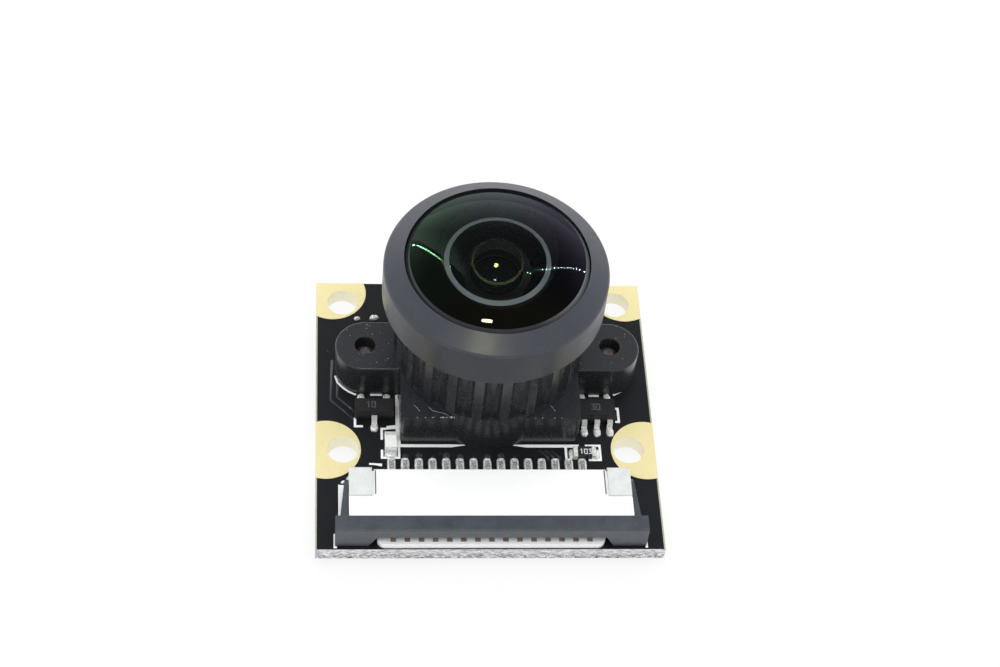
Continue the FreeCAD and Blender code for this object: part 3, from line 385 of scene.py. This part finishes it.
def tinned_contact():
    """Tin: tan at the tips in the slot, bright and grainy at the soldered feet."""
    f = Finish("tinned_contact")
    tip = f.spread(f.split(f.place)[1], -9.5 * MM, -7.0 * MM, 1.0, 0.0)
    grains = f.spread(f.noise(0.11, 3, 0.7), 0.42, 0.6)
    foot = f.blend(grains, srgb(122, 124, 126), srgb(222, 223, 222))
    tan = f.blend(f.noise(0.4, 3), srgb(140, 122, 92), srgb(190, 172, 140))
    relief = f.bump(f.noise(0.1, 3), 0.01)
    return f.done(f.surface(Base_Color=f.blend(tip, foot, tan), Metallic=0.3, Roughness=0.32, Normal=relief))


def ink(name, low, high):
    """Printed ink: a little uneven, with specks where the surface shows through."""
    f = Finish(name)
    tone = f.blend(f.spread(f.noise(0.12, 3, 0.7), 0.35, 0.6), low, high)
    return f.done(f.surface(Base_Color=tone, Roughness=0.6, Normal=f.bump(f.noise(0.06, 2), 0.003)))


finishes = {
    "circuit_board": solder_mask(),
    "hole_pads": gold_plating(),
    "lens_mount": black_moulding(),
    "lens_barrel": black_anodised(),
    "front_glass": dome_glass(),
    "mount_screws": plain("screw_steel", srgb(96, 86, 84), srgb(150, 140, 137), 0.3, (0.25, 0.4),
                          0.02, 0.2, 0.6, fleck=srgb(90, 80, 78)),
    "connector_housing": white_nylon(),
    "connector_latch": plain("grey_nylon", srgb(56, 61, 69), srgb(68, 74, 84), 0.9, (0.34, 0.46),
                             0.005, 0.08, specular=0.7, fleck=srgb(98, 103, 110)),
    "connector_contacts": tinned_contact(),
    "connector_tabs": plain("tinned_strip", srgb(222, 227, 225), srgb(238, 242, 240), 0.8,
                            (0.34, 0.5), 0.004, 0.1, 0.15),
    "chip": plain("chip_plastic", srgb(26, 27, 29), srgb(38, 39, 42), 0.5, (0.5, 0.65), 0.01, 0.07,
                  fleck=srgb(66, 68, 72)),
    "leads": plain("tinned_lead", srgb(206, 206, 206), srgb(250, 250, 248), 0.2, (0.25, 0.4),
                   0.006, 0.07, 0.3),
    "led_body": plain("led_resin", srgb(236, 244, 236), srgb(252, 254, 250), 0.3, (0.2, 0.3), 0.006, 0.1),
    "solder_end": plain("solder_end", srgb(206, 210, 208), srgb(255, 255, 250), 0.18, (0.2, 0.35),
                        0.012, 0.09, 0.2, fleck=srgb(120, 122, 120)),
    "resistor_body": plain("resistor_film", srgb(24, 25, 28), srgb(42, 43, 48), 0.3, (0.35, 0.5),
                           0.008, 0.08),
    "ir_filter": plain("filter_glass", srgb(96, 150, 150), srgb(120, 176, 172), 1.5, (0.05, 0.1), 0.001, 0.3),
    "image_sensor": plain("sensor_package", srgb(44, 40, 58), srgb(60, 58, 78), 1.0, (0.3, 0.4), 0.004, 0.1),
    "sensor_glass": plain("sensor_cover", srgb(40, 42, 52), srgb(58, 60, 72), 1.2, (0.08, 0.15), 0.001, 0.3),
    "ring": plain("blackened_ring", srgb(20, 20, 22), srgb(30, 30, 33), 0.5, (0.5, 0.6), 0.006, 0.08),
    "retaining_ring": plain("ring_metal", srgb(28, 28, 31), srgb(42, 42, 46), 0.5, (0.35, 0.5), 0.006, 0.08),
    "second_glass": inner_glass("coated_glass_second", srgb(130, 240, 255), 0.18),
    "third_glass": inner_glass("coated_glass_third", srgb(200, 200, 200), 0.01, bent=False),
    "rear_glass": inner_glass("coated_glass_rear", srgb(255, 70, 80), 0.4),
    "solder": solder(),
    "legend": ink("legend_ink", srgb(244, 246, 246), srgb(255, 255, 255)),
    "track": plain("covered_copper", srgb(46, 50, 56), srgb(58, 62, 70), 0.6, (0.14, 0.22), 0.006, 0.2),
    # Painted shade of the notch walls beside the tabs.
    "notch_shade": plain("painted_notch_shade", srgb(84, 88, 86), srgb(120, 124, 122), 0.5, (0.6, 0.7), 0.002, 0.1),
    "chip_print": ink("chip_print", srgb(70, 72, 76), srgb(110, 112, 116)),
    "resistor_print": ink("resistor_print", srgb(200, 202, 206), srgb(232, 233, 236)),
    "fleck": plain("dust_fleck", srgb(190, 190, 186), srgb(232, 232, 228), 0.05, (0.7, 0.9), 0.004, 0.03),
}

for node, finish in {
    "three_pin_chip": "chip", "five_pin_chip": "chip", "three_pin_leads": "leads", "five_pin_leads": "leads",
    "led_ends": "solder_end", "resistor_ends": "solder_end", "aperture_stop": "ring", "spacer_ring": "ring",
}.items():
    finishes[node] = finishes[finish]

for name, node in nodes.items():
    node.data.materials.clear()
    node.data.materials.append(finishes[name])


# Mesh work

def piece(name, mesh, finish, body, smooth=True):
    """Turns a bmesh into a named piece that rides on a CAD body."""
    data = bpy.data.meshes.new(name)
    bmesh.ops.recalc_face_normals(mesh, faces=mesh.faces)
    mesh.to_mesh(data)
    mesh.free()
    for face in data.polygons:
        face.use_smooth = smooth
    data.materials.append(finishes[finish])
    made = bpy.data.objects.new(name, data)
    bpy.context.scene.collection.objects.link(made)
    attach(made, body)


def prism(mesh, outline, low, high):
    """A closed flat piece with this outline, between two heights above the board in millimetres."""
    rings = []
    for height in (low, high):
        rings.append([mesh.verts.new(on_board(x, y, height)) for x, y in outline])
    mesh.faces.new(rings[0][::-1])
    mesh.faces.new(rings[1])
    count = len(outline)
    for i in range(count):
        after = (i + 1) % count
        mesh.faces.new((rings[0][i], rings[0][after], rings[1][after], rings[1][i]))


def stroke(mesh, points, width, low, high, end_width=None):
    """A line through these points, as one closed flat piece. Its last point can have another width."""
    end_width = width if end_width is None else end_width
    count = len(points)
    left, right = [], []
    for i, point in enumerate(points):
        here = Vector(point)
        ways = []
        if i > 0:
            ways.append((here - Vector(points[i - 1])).normalized())
        if i < count - 1:
            ways.append((Vector(points[i + 1]) - here).normalized())
        along = sum(ways, Vector((0, 0))).normalized()
        across = Vector((-along.y, along.x))
        corner = 1 / max(ways[0].dot(along), 0.5)
        half = (end_width if i == count - 1 else width) / 2 * corner
        left.append(tuple(here + across * half))
        right.append(tuple(here - across * half))
    prism(mesh, right + left[::-1], low, high)


MOUND_RINGS = 6
MOUND_SPOKES = 20
MOUND_BULGE = 1.7


def mound(mesh, centre, size, height, power, rough, base=-0.01):
    """A blob of solder on the board: an uneven rounded mound with a closed underside.

    Its outline is an ellipse where the power is 2, and nears a rectangle as the power grows.
    """
    x, y = centre
    wobble = [1 + dice.uniform(-rough, rough) for _ in range(MOUND_SPOKES)]
    loops = []
    for ring in range(MOUND_RINGS):
        share = 1 - ring / MOUND_RINGS
        level = height * (1 - share ** power) ** (1 / MOUND_BULGE)
        loop = []
        for spoke in range(MOUND_SPOKES):
            angle = 2 * math.pi * spoke / MOUND_SPOKES
            reach = share * wobble[spoke]
            shape = 1 / (abs(math.cos(angle)) ** power + abs(math.sin(angle)) ** power) ** (1 / power)
            loop.append(mesh.verts.new(on_board(
                x + size[0] / 2 * reach * shape * math.cos(angle),
                y + size[1] / 2 * reach * shape * math.sin(angle),
                level if ring else base,
            )))
        loops.append(loop)
    top = mesh.verts.new(on_board(x, y, height))
    mesh.faces.new(loops[0][::-1])
    for lower, upper in zip(loops, loops[1:]):
        for i in range(MOUND_SPOKES):
            after = (i + 1) % MOUND_SPOKES
            mesh.faces.new((lower[i], lower[after], upper[after], upper[i]))
    for i in range(MOUND_SPOKES):
        mesh.faces.new((loops[-1][i], loops[-1][(i + 1) % MOUND_SPOKES], top))


# Print on the board. From here on, places and sizes are in millimetres from the middle of the board.

FRONT_LINE_Y = -3.135
PRINT_WIDTH = 0.18


def board_print():
    """White print. Each line is a hair higher than the one before, as some cross."""
    mesh = bmesh.new()
    prism(mesh, [(-10.86, -9.2), (-10.66, -9.2), (-10.3, -6.6), (-10.86, -6.55)], 0, 0.015)
    lines = [
        ([(-11.08, -10.71), (-11.08, -11.9)], 0.24, 0.24),
        ([(11.14, -11.24), (11.14, -11.88)], 0.17, 0.17),
        ([(-8.62, -4.74), (-8.2, -4.76), (-7.68, -4.84)], 0.15, 0.24),
        ([(-10.62, -6.42), (-10.5, -6.27), (-10.2, -6.3)], 0.16, 0.16),
        ([(10.52, -6.1), (10.56, -6.32)], 0.2, 0.2),
        ([(10.55, -6.5), (10.76, -7.1)], 0.22, 0.05),
        ([(-6.6, FRONT_LINE_Y), (-2.6, FRONT_LINE_Y), (-1.56, FRONT_LINE_Y + 0.07)], 0.25, 0.05),
        ([(6.85, FRONT_LINE_Y), (2.9, FRONT_LINE_Y), (1.98, FRONT_LINE_Y + 0.07)], 0.25, 0.05),
        ([(-6.46, FRONT_LINE_Y - 0.1), (-6.46, 0.2), (-6.52, 1.44)], 0.34, 0.18),
        ([(-7.3, -1.55), (-6.4, -1.45)], 0.3, 0.36),
        ([(-6.42, -1.6), (-6.42, -4.2), (-7.66, -4.2), (-7.66, -3.5)], PRINT_WIDTH, PRINT_WIDTH),
        ([(-7.66, -2.6), (-7.66, -1.64), (-7.3, -1.64)], PRINT_WIDTH, PRINT_WIDTH),
        ([(5.86, -4.36), (5.86, -3.1)], PRINT_WIDTH, PRINT_WIDTH),
        ([(7.3, -3.1), (8.38, -3.1), (8.38, -4.36), (7.5, -4.36)], PRINT_WIDTH, PRINT_WIDTH),
        ([(-9.61, -0.67), (-9.61, -1.42), (-9.03, -1.42)], PRINT_WIDTH, PRINT_WIDTH),
        ([(-8.48, 1.43), (-7.59, 1.43)], PRINT_WIDTH, PRINT_WIDTH),
        ([(7.9, 1.43), (8.66, 1.43)], PRINT_WIDTH, PRINT_WIDTH),
        ([(9.74, -0.94), (10.0, -0.94), (10.0, 0.25), (9.8, 0.25)], PRINT_WIDTH, PRINT_WIDTH),
        ([(-11.07, 3.16), (-10.9, 2.55), (-10.48, 2.05), (-10.05, 1.7), (-9.52, 1.42)], 0.14, 0.14),
        ([(11.26, 3.03), (11.1, 2.6), (10.73, 2.19), (10.3, 1.8), (9.76, 1.49)], 0.14, 0.14),
    ]
    for step, (points, width, end_width) in enumerate(lines):
        stroke(mesh, points, width, 0.0, 0.016 + 0.001 * step, end_width)
    piece("board_print", mesh, "legend", "board", smooth=False)


# Copper under the lacquer

TRACE_WIDTH = 0.2
TRACE_HEIGHT = 0.014
VIAS = [(pin - 6.95, -3.98 - 0.1 * (pin % 2)) for pin in (1, 2, 4, 5, 7, 8)]


def covered_traces():
    """Tracks and small plated holes that show as relief under the lacquer."""
    mesh = bmesh.new()
    routes = [
        [(-11.3, 4.64), (-11.37, 0.95), (-9.61, -0.85)],
        [(-10.86, 4.2), (-10.9, 1.25), (-9.3, -0.4)],
    ]
    for step in range(3):
        shift = step * 0.42
        routes.append([(3.9 + shift, -3.5), (4.5 + shift, -4.1), (4.5 + shift, -4.4)])
    for step in range(9):
        x = step - 6
        routes.append([(x, -4.4), (x, -4.15), (x + 0.06, -3.95)])
    for route in routes:
        stroke(mesh, route, TRACE_WIDTH, -0.005, TRACE_HEIGHT)
    for centre in VIAS:
        mound(mesh, centre, (0.58, 0.56), 0.07, 2.0, 0.08)
    piece("covered_traces", mesh, "track", "board")


# Solder

PIN_COUNT = 15
PIN_FOOT_Y = -4.85


def solder_joints():
    """Mounds at the contacts, the tabs, the chips' leads and the small parts, and two spare pads."""
    mesh = bmesh.new()
    for pin in range(PIN_COUNT):
        x = pin - (PIN_COUNT - 1) / 2
        mound(mesh, (x, PIN_FOOT_Y - 0.05), (0.66, 1.22), 0.17, 6.0, 0.03, base=0.0)
        mound(mesh, (x, PIN_FOOT_Y + 0.42), (0.6, 0.32), 0.21, 3.0, 0.08, base=0.0)
    piece("pin_solder", mesh, "solder", "board")

    mesh = bmesh.new()
    for side in (-1, 1):
        mound(mesh, (9.3 * side, -6.05), (2.0, 0.8), 0.3, 3.0, 0.04)
    piece("tab_solder", mesh, "solder", "board")

    mesh = bmesh.new()
    for x, y, away in ((-8.2, -1.36, -1), (-9.15, 0.96, 1), (-7.25, 0.96, 1)):
        mound(mesh, (x, y + 0.18 * away), (0.62, 0.78), 0.2, 2.6, 0.06)
    piece("three_pin_solder", mesh, "solder", "board")

    mesh = bmesh.new()
    feet = [(x, -1.72, -1) for x in (7.35, 8.3, 9.25)] + [(x, 1.02, 1) for x in (7.35, 9.25)]
    for x, y, away in feet:
        mound(mesh, (x, y + 0.2 * away), (0.6, 0.8), 0.2, 2.6, 0.06)
    piece("five_pin_solder", mesh, "solder", "board")

    mesh = bmesh.new()
    for y in (-2.2, -4.0):
        mound(mesh, (-7.03, y), (0.95, 0.5), 0.24, 2.6, 0.07)
    piece("led_solder", mesh, "solder", "board")

    mesh = bmesh.new()
    for x in (6.28, 8.12):
        mound(mesh, (x, -3.87), (0.5, 0.95), 0.22, 2.6, 0.07)
    piece("resistor_solder", mesh, "solder", "board")

    mesh = bmesh.new()
    mound(mesh, (-9.39, 8.56), (0.5, 0.36), 0.2, 2.2, 0.08)
    mound(mesh, (-8.09, 8.67), (0.75, 0.5), 0.24, 2.4, 0.1)
    piece("spare_pads", mesh, "solder", "board")


# Figures on the small parts

FIGURE_WIDTH = 0.07
FIGURE_STEP = 1.55
RESISTOR_TOP, THREE_PIN_TOP, FIVE_PIN_TOP = 0.47, 1.06, 1.11
FIGURES = {
    "0": [[(0, 0), (1, 0), (1, 2), (0, 2), (0, 0.1)]],
    "1": [[(0.1, 1.6), (0.55, 2), (0.55, 0)]],
    "3": [[(0, 2), (1, 2), (0.45, 1.15), (1, 0.9), (1, 0.1), (0, 0)]],
}


def figures(mesh, text, start, size, top):
    """Plain figures, size being half of their height, lying on a face at this height."""
    x, y = start
    for letter in text:
        for line in FIGURES[letter]:
            points = [(x + px * size, y + py * size) for px, py in line]
            stroke(mesh, points, FIGURE_WIDTH, top - 0.004, top + 0.006)
        x += FIGURE_STEP * size


# Where the painted shade of the notch walls beside the tabs lies on the housing top.
NOTCH_SHADE_TOP = (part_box("connector_housing")[1].z - BOARD_TOP) / MM + 0.012
NOTCH_SHADE_X = 8.24
NOTCH_SHADE_REAR, NOTCH_SHADE_FRONT, NOTCH_SHADE_WIDTH = -6.56, -8.6, 0.09


def part_marks():
    """Figures on the resistor and the two chips, and grey lines beside the tabs: painted shade of the notch
    walls there.
    """
    mesh = bmesh.new()
    figures(mesh, "103", (6.86, -4.1), 0.2, RESISTOR_TOP)
    piece("resistor_mark", mesh, "resistor_print", "board", smooth=False)
    mesh = bmesh.new()
    figures(mesh, "10", (-8.75, -0.42), 0.24, THREE_PIN_TOP)
    piece("three_pin_mark", mesh, "chip_print", "board", smooth=False)
    mesh = bmesh.new()
    figures(mesh, "30", (7.85, -0.6), 0.25, FIVE_PIN_TOP)
    piece("five_pin_mark", mesh, "chip_print", "board", smooth=False)
    mesh = bmesh.new()
    # Grey lines on the housing top: painted shade of the inner walls of the notches beside the tabs.
    for side in (-1, 1):
        ends = [(side * NOTCH_SHADE_X, NOTCH_SHADE_FRONT), (side * NOTCH_SHADE_X, NOTCH_SHADE_REAR)]
        stroke(mesh, ends, NOTCH_SHADE_WIDTH, NOTCH_SHADE_TOP - 0.02, NOTCH_SHADE_TOP)
    piece("tab_notch_shades", mesh, "notch_shade", "board", smooth=False)


# Dust

def surface_point(node, x, y):
    """The highest point of a CAD node at this place, given in millimetres."""
    down = Vector((0, 0, -1))
    found, point, _, _ = nodes[node].ray_cast(Vector((x * MM, y * MM, 0.05)), down)
    return point if found else None


def fleck(mesh, point, size):
    """A low uneven chip of dust."""
    corners = []
    for i in range(5):
        angle = 2 * math.pi * (i + dice.random() * 0.6) / 5
        reach = size * (0.5 + dice.random() * 0.5)
        corners.append(Vector((math.cos(angle) * reach, math.sin(angle) * reach, 0)) * MM)
    low = [mesh.verts.new(point + corner) for corner in corners]
    top = mesh.verts.new(point + Vector((0, 0, size * 0.5 * MM)))
    mesh.faces.new(low[::-1])
    for i in range(5):
        mesh.faces.new((low[i], low[(i + 1) % 5], top))


MOUNT_TOP = 3.15
BASE_FRONT = -2.85


def flecks():
    """Specks of dust on the board and the mount, and scratches along the front of the mount."""
    mesh = bmesh.new()
    for _ in range(60):
        x, y = dice.uniform(-11.9, 11.9), dice.uniform(-5.6, 11.6)
        if abs(x) < 11.2 and y > -3.4:
            continue
        if abs(abs(x) - 10.5) < 2.2 and (abs(y + 3.5) < 2.2 or abs(y - 10.1) < 2.2):
            continue
        fleck(mesh, on_board(x, y), dice.uniform(0.02, 0.045))
    piece("board_flecks", mesh, "fleck", "board", smooth=False)

    mesh = bmesh.new()
    for _ in range(70):
        x, y = dice.choice((-1, 1)) * dice.uniform(6.8, 11.2), dice.uniform(1.4, 6.6)
        point = surface_point("lens_mount", x, y)
        if point and abs(point.z - BOARD_TOP - MOUNT_TOP * MM) < 0.02 * MM:
            fleck(mesh, point, dice.uniform(0.015, 0.045))
    for _ in range(26):
        x = dice.gauss(-2.9, 0.5)
        fleck(mesh, on_board(x, BASE_FRONT + dice.uniform(0.02, 0.12), MOUNT_TOP), dice.uniform(0.03, 0.07))
    for x in (-5.2, -4.6, -4.1, 3.4, 3.9, 4.8, 5.3):
        fleck(mesh, on_board(x, BASE_FRONT + 0.05, MOUNT_TOP), 0.05)
    for path in (
        [(-5.41, -1.71), (-5.2, -1.95), (-5.01, -2.26)],
        [(-4.35, -1.9), (-4.1, -2.2), (-3.75, -2.3), (-3.3, -2.42), (-2.95, -2.62)],
        [(4.55, -1.7), (4.72, -1.95), (4.85, -2.2)],
    ):
        stroke(mesh, path, 0.018, MOUNT_TOP - 0.005, MOUNT_TOP + 0.004)
    piece("mount_flecks", mesh, "fleck", "board", smooth=False)


board_print()
covered_traces()
solder_joints()
part_marks()
flecks()


# Room, lamps and camera

ROOM_LIGHT = 0.85
LIGHT_INSIDE_LENS = 0.02
LEFT_WALL = (0.794, 0.558, 0.241)


def white_room():
    """White where the camera sees it. Mirrored, it is white low down at the back and dim overhead.

    Through the glass it is nearly dark, but for the ground surfaces behind the glass, which it lights as it
    does the rest.
    """
    world = bpy.data.worlds.new("white_room")
    world.use_nodes = True
    bpy.context.scene.world = world
    tree = world.node_tree
    tree.nodes.clear()

    def node(kind, inputs=None, **settings):
        made = tree.nodes.new("ShaderNode" + kind)
        for key, value in settings.items():
            setattr(made, key, value)
        for key, value in (inputs or {}).items():
            if isinstance(value, bpy.types.NodeSocket):
                tree.links.new(value, made.inputs[key])
            else:
                made.inputs[key].default_value = value
        return made

    def spread(value, low, high, to_low=0.0, to_high=1.0):
        return node("MapRange", {0: value, 1: low, 2: high, 3: to_low, 4: to_high}).outputs[0]

    def math_of(operation, first, second):
        return node("Math", {0: first, 1: second}, operation=operation).outputs[0]

    def chosen(share, first, second):
        return node("Mix", {0: share, 2: first, 3: second}, data_type="FLOAT").outputs[0]

    rays = node("LightPath").outputs
    way = node("TexCoord").outputs["Generated"]
    x, y, z = node("SeparateXYZ", {0: way}).outputs[:3]
    low_wall = spread(z, -0.05, 0.62, 1.15, 0.0)
    from_behind = spread(math_of("SUBTRACT", y, math_of("ABSOLUTE", x, 0.0)), -1.5, -0.6)
    aside = node("VectorMath", {0: way, 1: LEFT_WALL}, operation="DOT_PRODUCT").outputs["Value"]
    glow = math_of("MULTIPLY", spread(aside, 0.045, 0.052), spread(aside, 0.05, 0.3, 1.3, 0.0))
    glow = math_of("MULTIPLY", glow, spread(x, -0.3, -0.38))
    mirrored = math_of("MULTIPLY", low_wall, from_behind)
    mirrored = math_of("ADD", math_of("MAXIMUM", mirrored, glow), spread(z, 0.3, 1.0, 0.45, 0.4))

    aside_light = math_of("MAXIMUM", spread(y, -0.95, -0.3, 0.15, 1.45), spread(z, 0.3, 0.7))
    lit = math_of("MULTIPLY", aside_light, ROOM_LIGHT)
    strength = chosen(rays["Is Glossy Ray"], lit, mirrored)
    from_matte = math_of("GREATER_THAN", rays["Diffuse Depth"], 0.5)
    inside = chosen(from_matte, LIGHT_INSIDE_LENS, lit)
    strength = chosen(rays["Is Transmission Ray"], strength, inside)
    strength = chosen(rays["Is Camera Ray"], strength, 1.0)
    background = node("Background", {0: grey(1.0), 1: strength}).outputs[0]
    node("OutputWorld", {0: background})


FLOOR_REACH = 1.5
FLOOR_GLOW = 0.86


def pale_floor():
    """White where it is seen or mirrored, but for the object's shadow."""
    mesh = bmesh.new()
    corners = ((-1, -1), (1, -1), (1, 1), (-1, 1))
    mesh.faces.new([mesh.verts.new((x * FLOOR_REACH, y * FLOOR_REACH, 0)) for x, y in corners])
    data = bpy.data.meshes.new("floor")
    mesh.to_mesh(data)
    mesh.free()
    floor = bpy.data.objects.new("floor", data)
    bpy.context.scene.collection.objects.link(floor)
    f = Finish("floor")
    rays = f.node("LightPath").outputs
    mirrored = f.math("MAXIMUM", rays["Is Glossy Ray"], rays["Is Transmission Ray"])
    seen = f.math("MAXIMUM", rays["Is Camera Ray"], mirrored)
    sheet = f.blend(f.noise(30, 2), srgb(243, 243, 243), srgb(246, 246, 246))
    paper = f.node("BsdfDiffuse", {"Color": sheet}).outputs[0]
    glow = f.node("Emission", {"Color": grey(1.0), "Strength": 1.0}).outputs[0]
    data.materials.append(f.done(f.mixed(f.math("MULTIPLY", seen, FLOOR_GLOW), paper, glow)))


LIGHT_DISTANCE = 0.5
BEAD_RADIUS = 0.0024
BEAD_STRENGTH = 600.0


def only_for(light, receivers):
    """Lets a light shine on these objects alone."""
    lit = bpy.data.collections.new(light.name + "_receivers")
    for receiver in receivers:
        lit.objects.link(receiver)
    light.light_linking.receiver_collection = lit


def direction(azimuth, elevation):
    """From the lens outwards. Azimuth 0 is behind the object, 90 to its right."""
    a, e = math.radians(azimuth), math.radians(elevation)
    return Vector((math.sin(a) * math.cos(e), math.cos(a) * math.cos(e), math.sin(e)))


def lamp(name, way, distance, width, height, radiance, tone=(1, 1, 1), roll=0.0, only=None, inside=False):
    """A soft box that faces the object. One with receivers shows as a reflection on them alone, or,
    where it is inside, on the glasses inside the lens alone.
    """
    data = bpy.data.lights.new(name, "AREA")
    data.shape = "ELLIPSE" if inside else "RECTANGLE"
    data.size, data.size_y = width, height
    data.energy = radiance * math.pi * width * height
    data.color = tone
    made = bpy.data.objects.new(name, data)
    bpy.context.scene.collection.objects.link(made)
    away = direction(*way)
    made.location = AXIS + away * distance
    made.rotation_mode = "QUATERNION"
    made.rotation_quaternion = away.to_track_quat("Z", "Y") @ Quaternion((0, 0, 1), math.radians(roll))
    made.visible_camera = False
    made.visible_glossy = only is not None and not inside
    made.visible_transmission = inside
    made.visible_diffuse = only is None
    if only:
        only_for(made, only)


def light_strip(name, start, end, beads, colours):
    """A row of small bright beads that only the front glass mirrors. Its ends are given by direction."""
    ends = [direction(*way) * LIGHT_DISTANCE for way in (start, end)]
    mesh = bmesh.new()
    for i in range(beads):
        place = AXIS + ends[0].lerp(ends[1], i / (beads - 1))
        bmesh.ops.create_icosphere(mesh, subdivisions=2, radius=BEAD_RADIUS, matrix=Matrix.Translation(place))
    data = bpy.data.meshes.new(name)
    mesh.to_mesh(data)
    mesh.free()
    f = Finish(name)
    first = tuple(AXIS + ends[0])
    along = f.node("VectorMath", {0: f.place, 1: first}, operation="DISTANCE").outputs["Value"]
    tone = f.blend(f.spread(along, 0.0, (ends[1] - ends[0]).length), colours[0], colours[1])
    data.materials.append(f.done(f.node("Emission", {"Color": tone, "Strength": BEAD_STRENGTH}).outputs[0]))
    made = bpy.data.objects.new(name, data)
    bpy.context.scene.collection.objects.link(made)
    made.visible_camera = made.visible_diffuse = made.visible_shadow = made.visible_transmission = False
    only_for(made, [nodes["front_glass"]])


white_room()
LENS_PARTS = ("front_glass", "second_glass", "third_glass", "rear_glass", "lens_barrel")
lens_parts = [nodes[name] for name in LENS_PARTS]
board_parts = [item for item in bpy.context.scene.objects if item.type == "MESH" and item not in lens_parts]
pale_floor()

OVERHEAD = (170, 74)
WINDOW = (-166, 64.2)
WINDOW_LOWER = (-166, 63.9)
PALE_YELLOW = (1.0, 0.99, 0.62)
lamp("overhead", OVERHEAD, 0.7, 0.5, 0.5, 1.5)
lamp("window", WINDOW, LIGHT_DISTANCE, 0.066, 0.010, 200.0, PALE_YELLOW, 4, lens_parts)
lamp("window_inside", WINDOW_LOWER, LIGHT_DISTANCE, 0.12, 0.12, 60.0, only=lens_parts, inside=True)
lamp("window_on_board", WINDOW_LOWER, LIGHT_DISTANCE, 0.075, 0.03, 60.0, only=board_parts)
light_strip("left_strip", (-37.3, 8.9), (-53.5, 54.0), 17, (srgb(190, 255, 250), srgb(225, 250, 150)))
light_strip("right_strip", (61.0, 66.0), (59.1, 15.0), 22, (srgb(120, 230, 140), srgb(240, 250, 240)))


CAMERA_LENS = 77.93
CAMERA_AZIMUTH, CAMERA_ELEVATION, CAMERA_ROLL = -8.313, 52.418, 7.032
CAMERA_DISTANCE = 165.478
CAMERA_TARGET = (1.510, 7.268, 2.1)


def photo_camera():
    """The photograph's view, from in front and above, a little to the left and leaning."""
    a, e, r = (math.radians(v) for v in (CAMERA_AZIMUTH, CAMERA_ELEVATION, CAMERA_ROLL))
    back = Vector((math.sin(a) * math.cos(e), -math.cos(a) * math.cos(e), math.sin(e)))
    right = (-back).cross(Vector((0, 0, 1))).normalized()
    up = right.cross(-back)
    across = right * math.cos(r) + up * math.sin(r)
    upward = up * math.cos(r) - right * math.sin(r)
    data = bpy.data.cameras.new("photo_camera")
    data.lens, data.sensor_width = CAMERA_LENS, 36
    data.clip_start, data.clip_end = 0.005, 20
    camera = bpy.data.objects.new("photo_camera", data)
    bpy.context.scene.collection.objects.link(camera)
    turn = Matrix((across, upward, back)).transposed().to_4x4()
    camera.matrix_world = Matrix.Translation((Vector(CAMERA_TARGET) + back * CAMERA_DISTANCE) * MM) @ turn
    bpy.context.scene.camera = camera


photo_camera()
bpy.context.scene.view_settings.view_transform = "Standard"
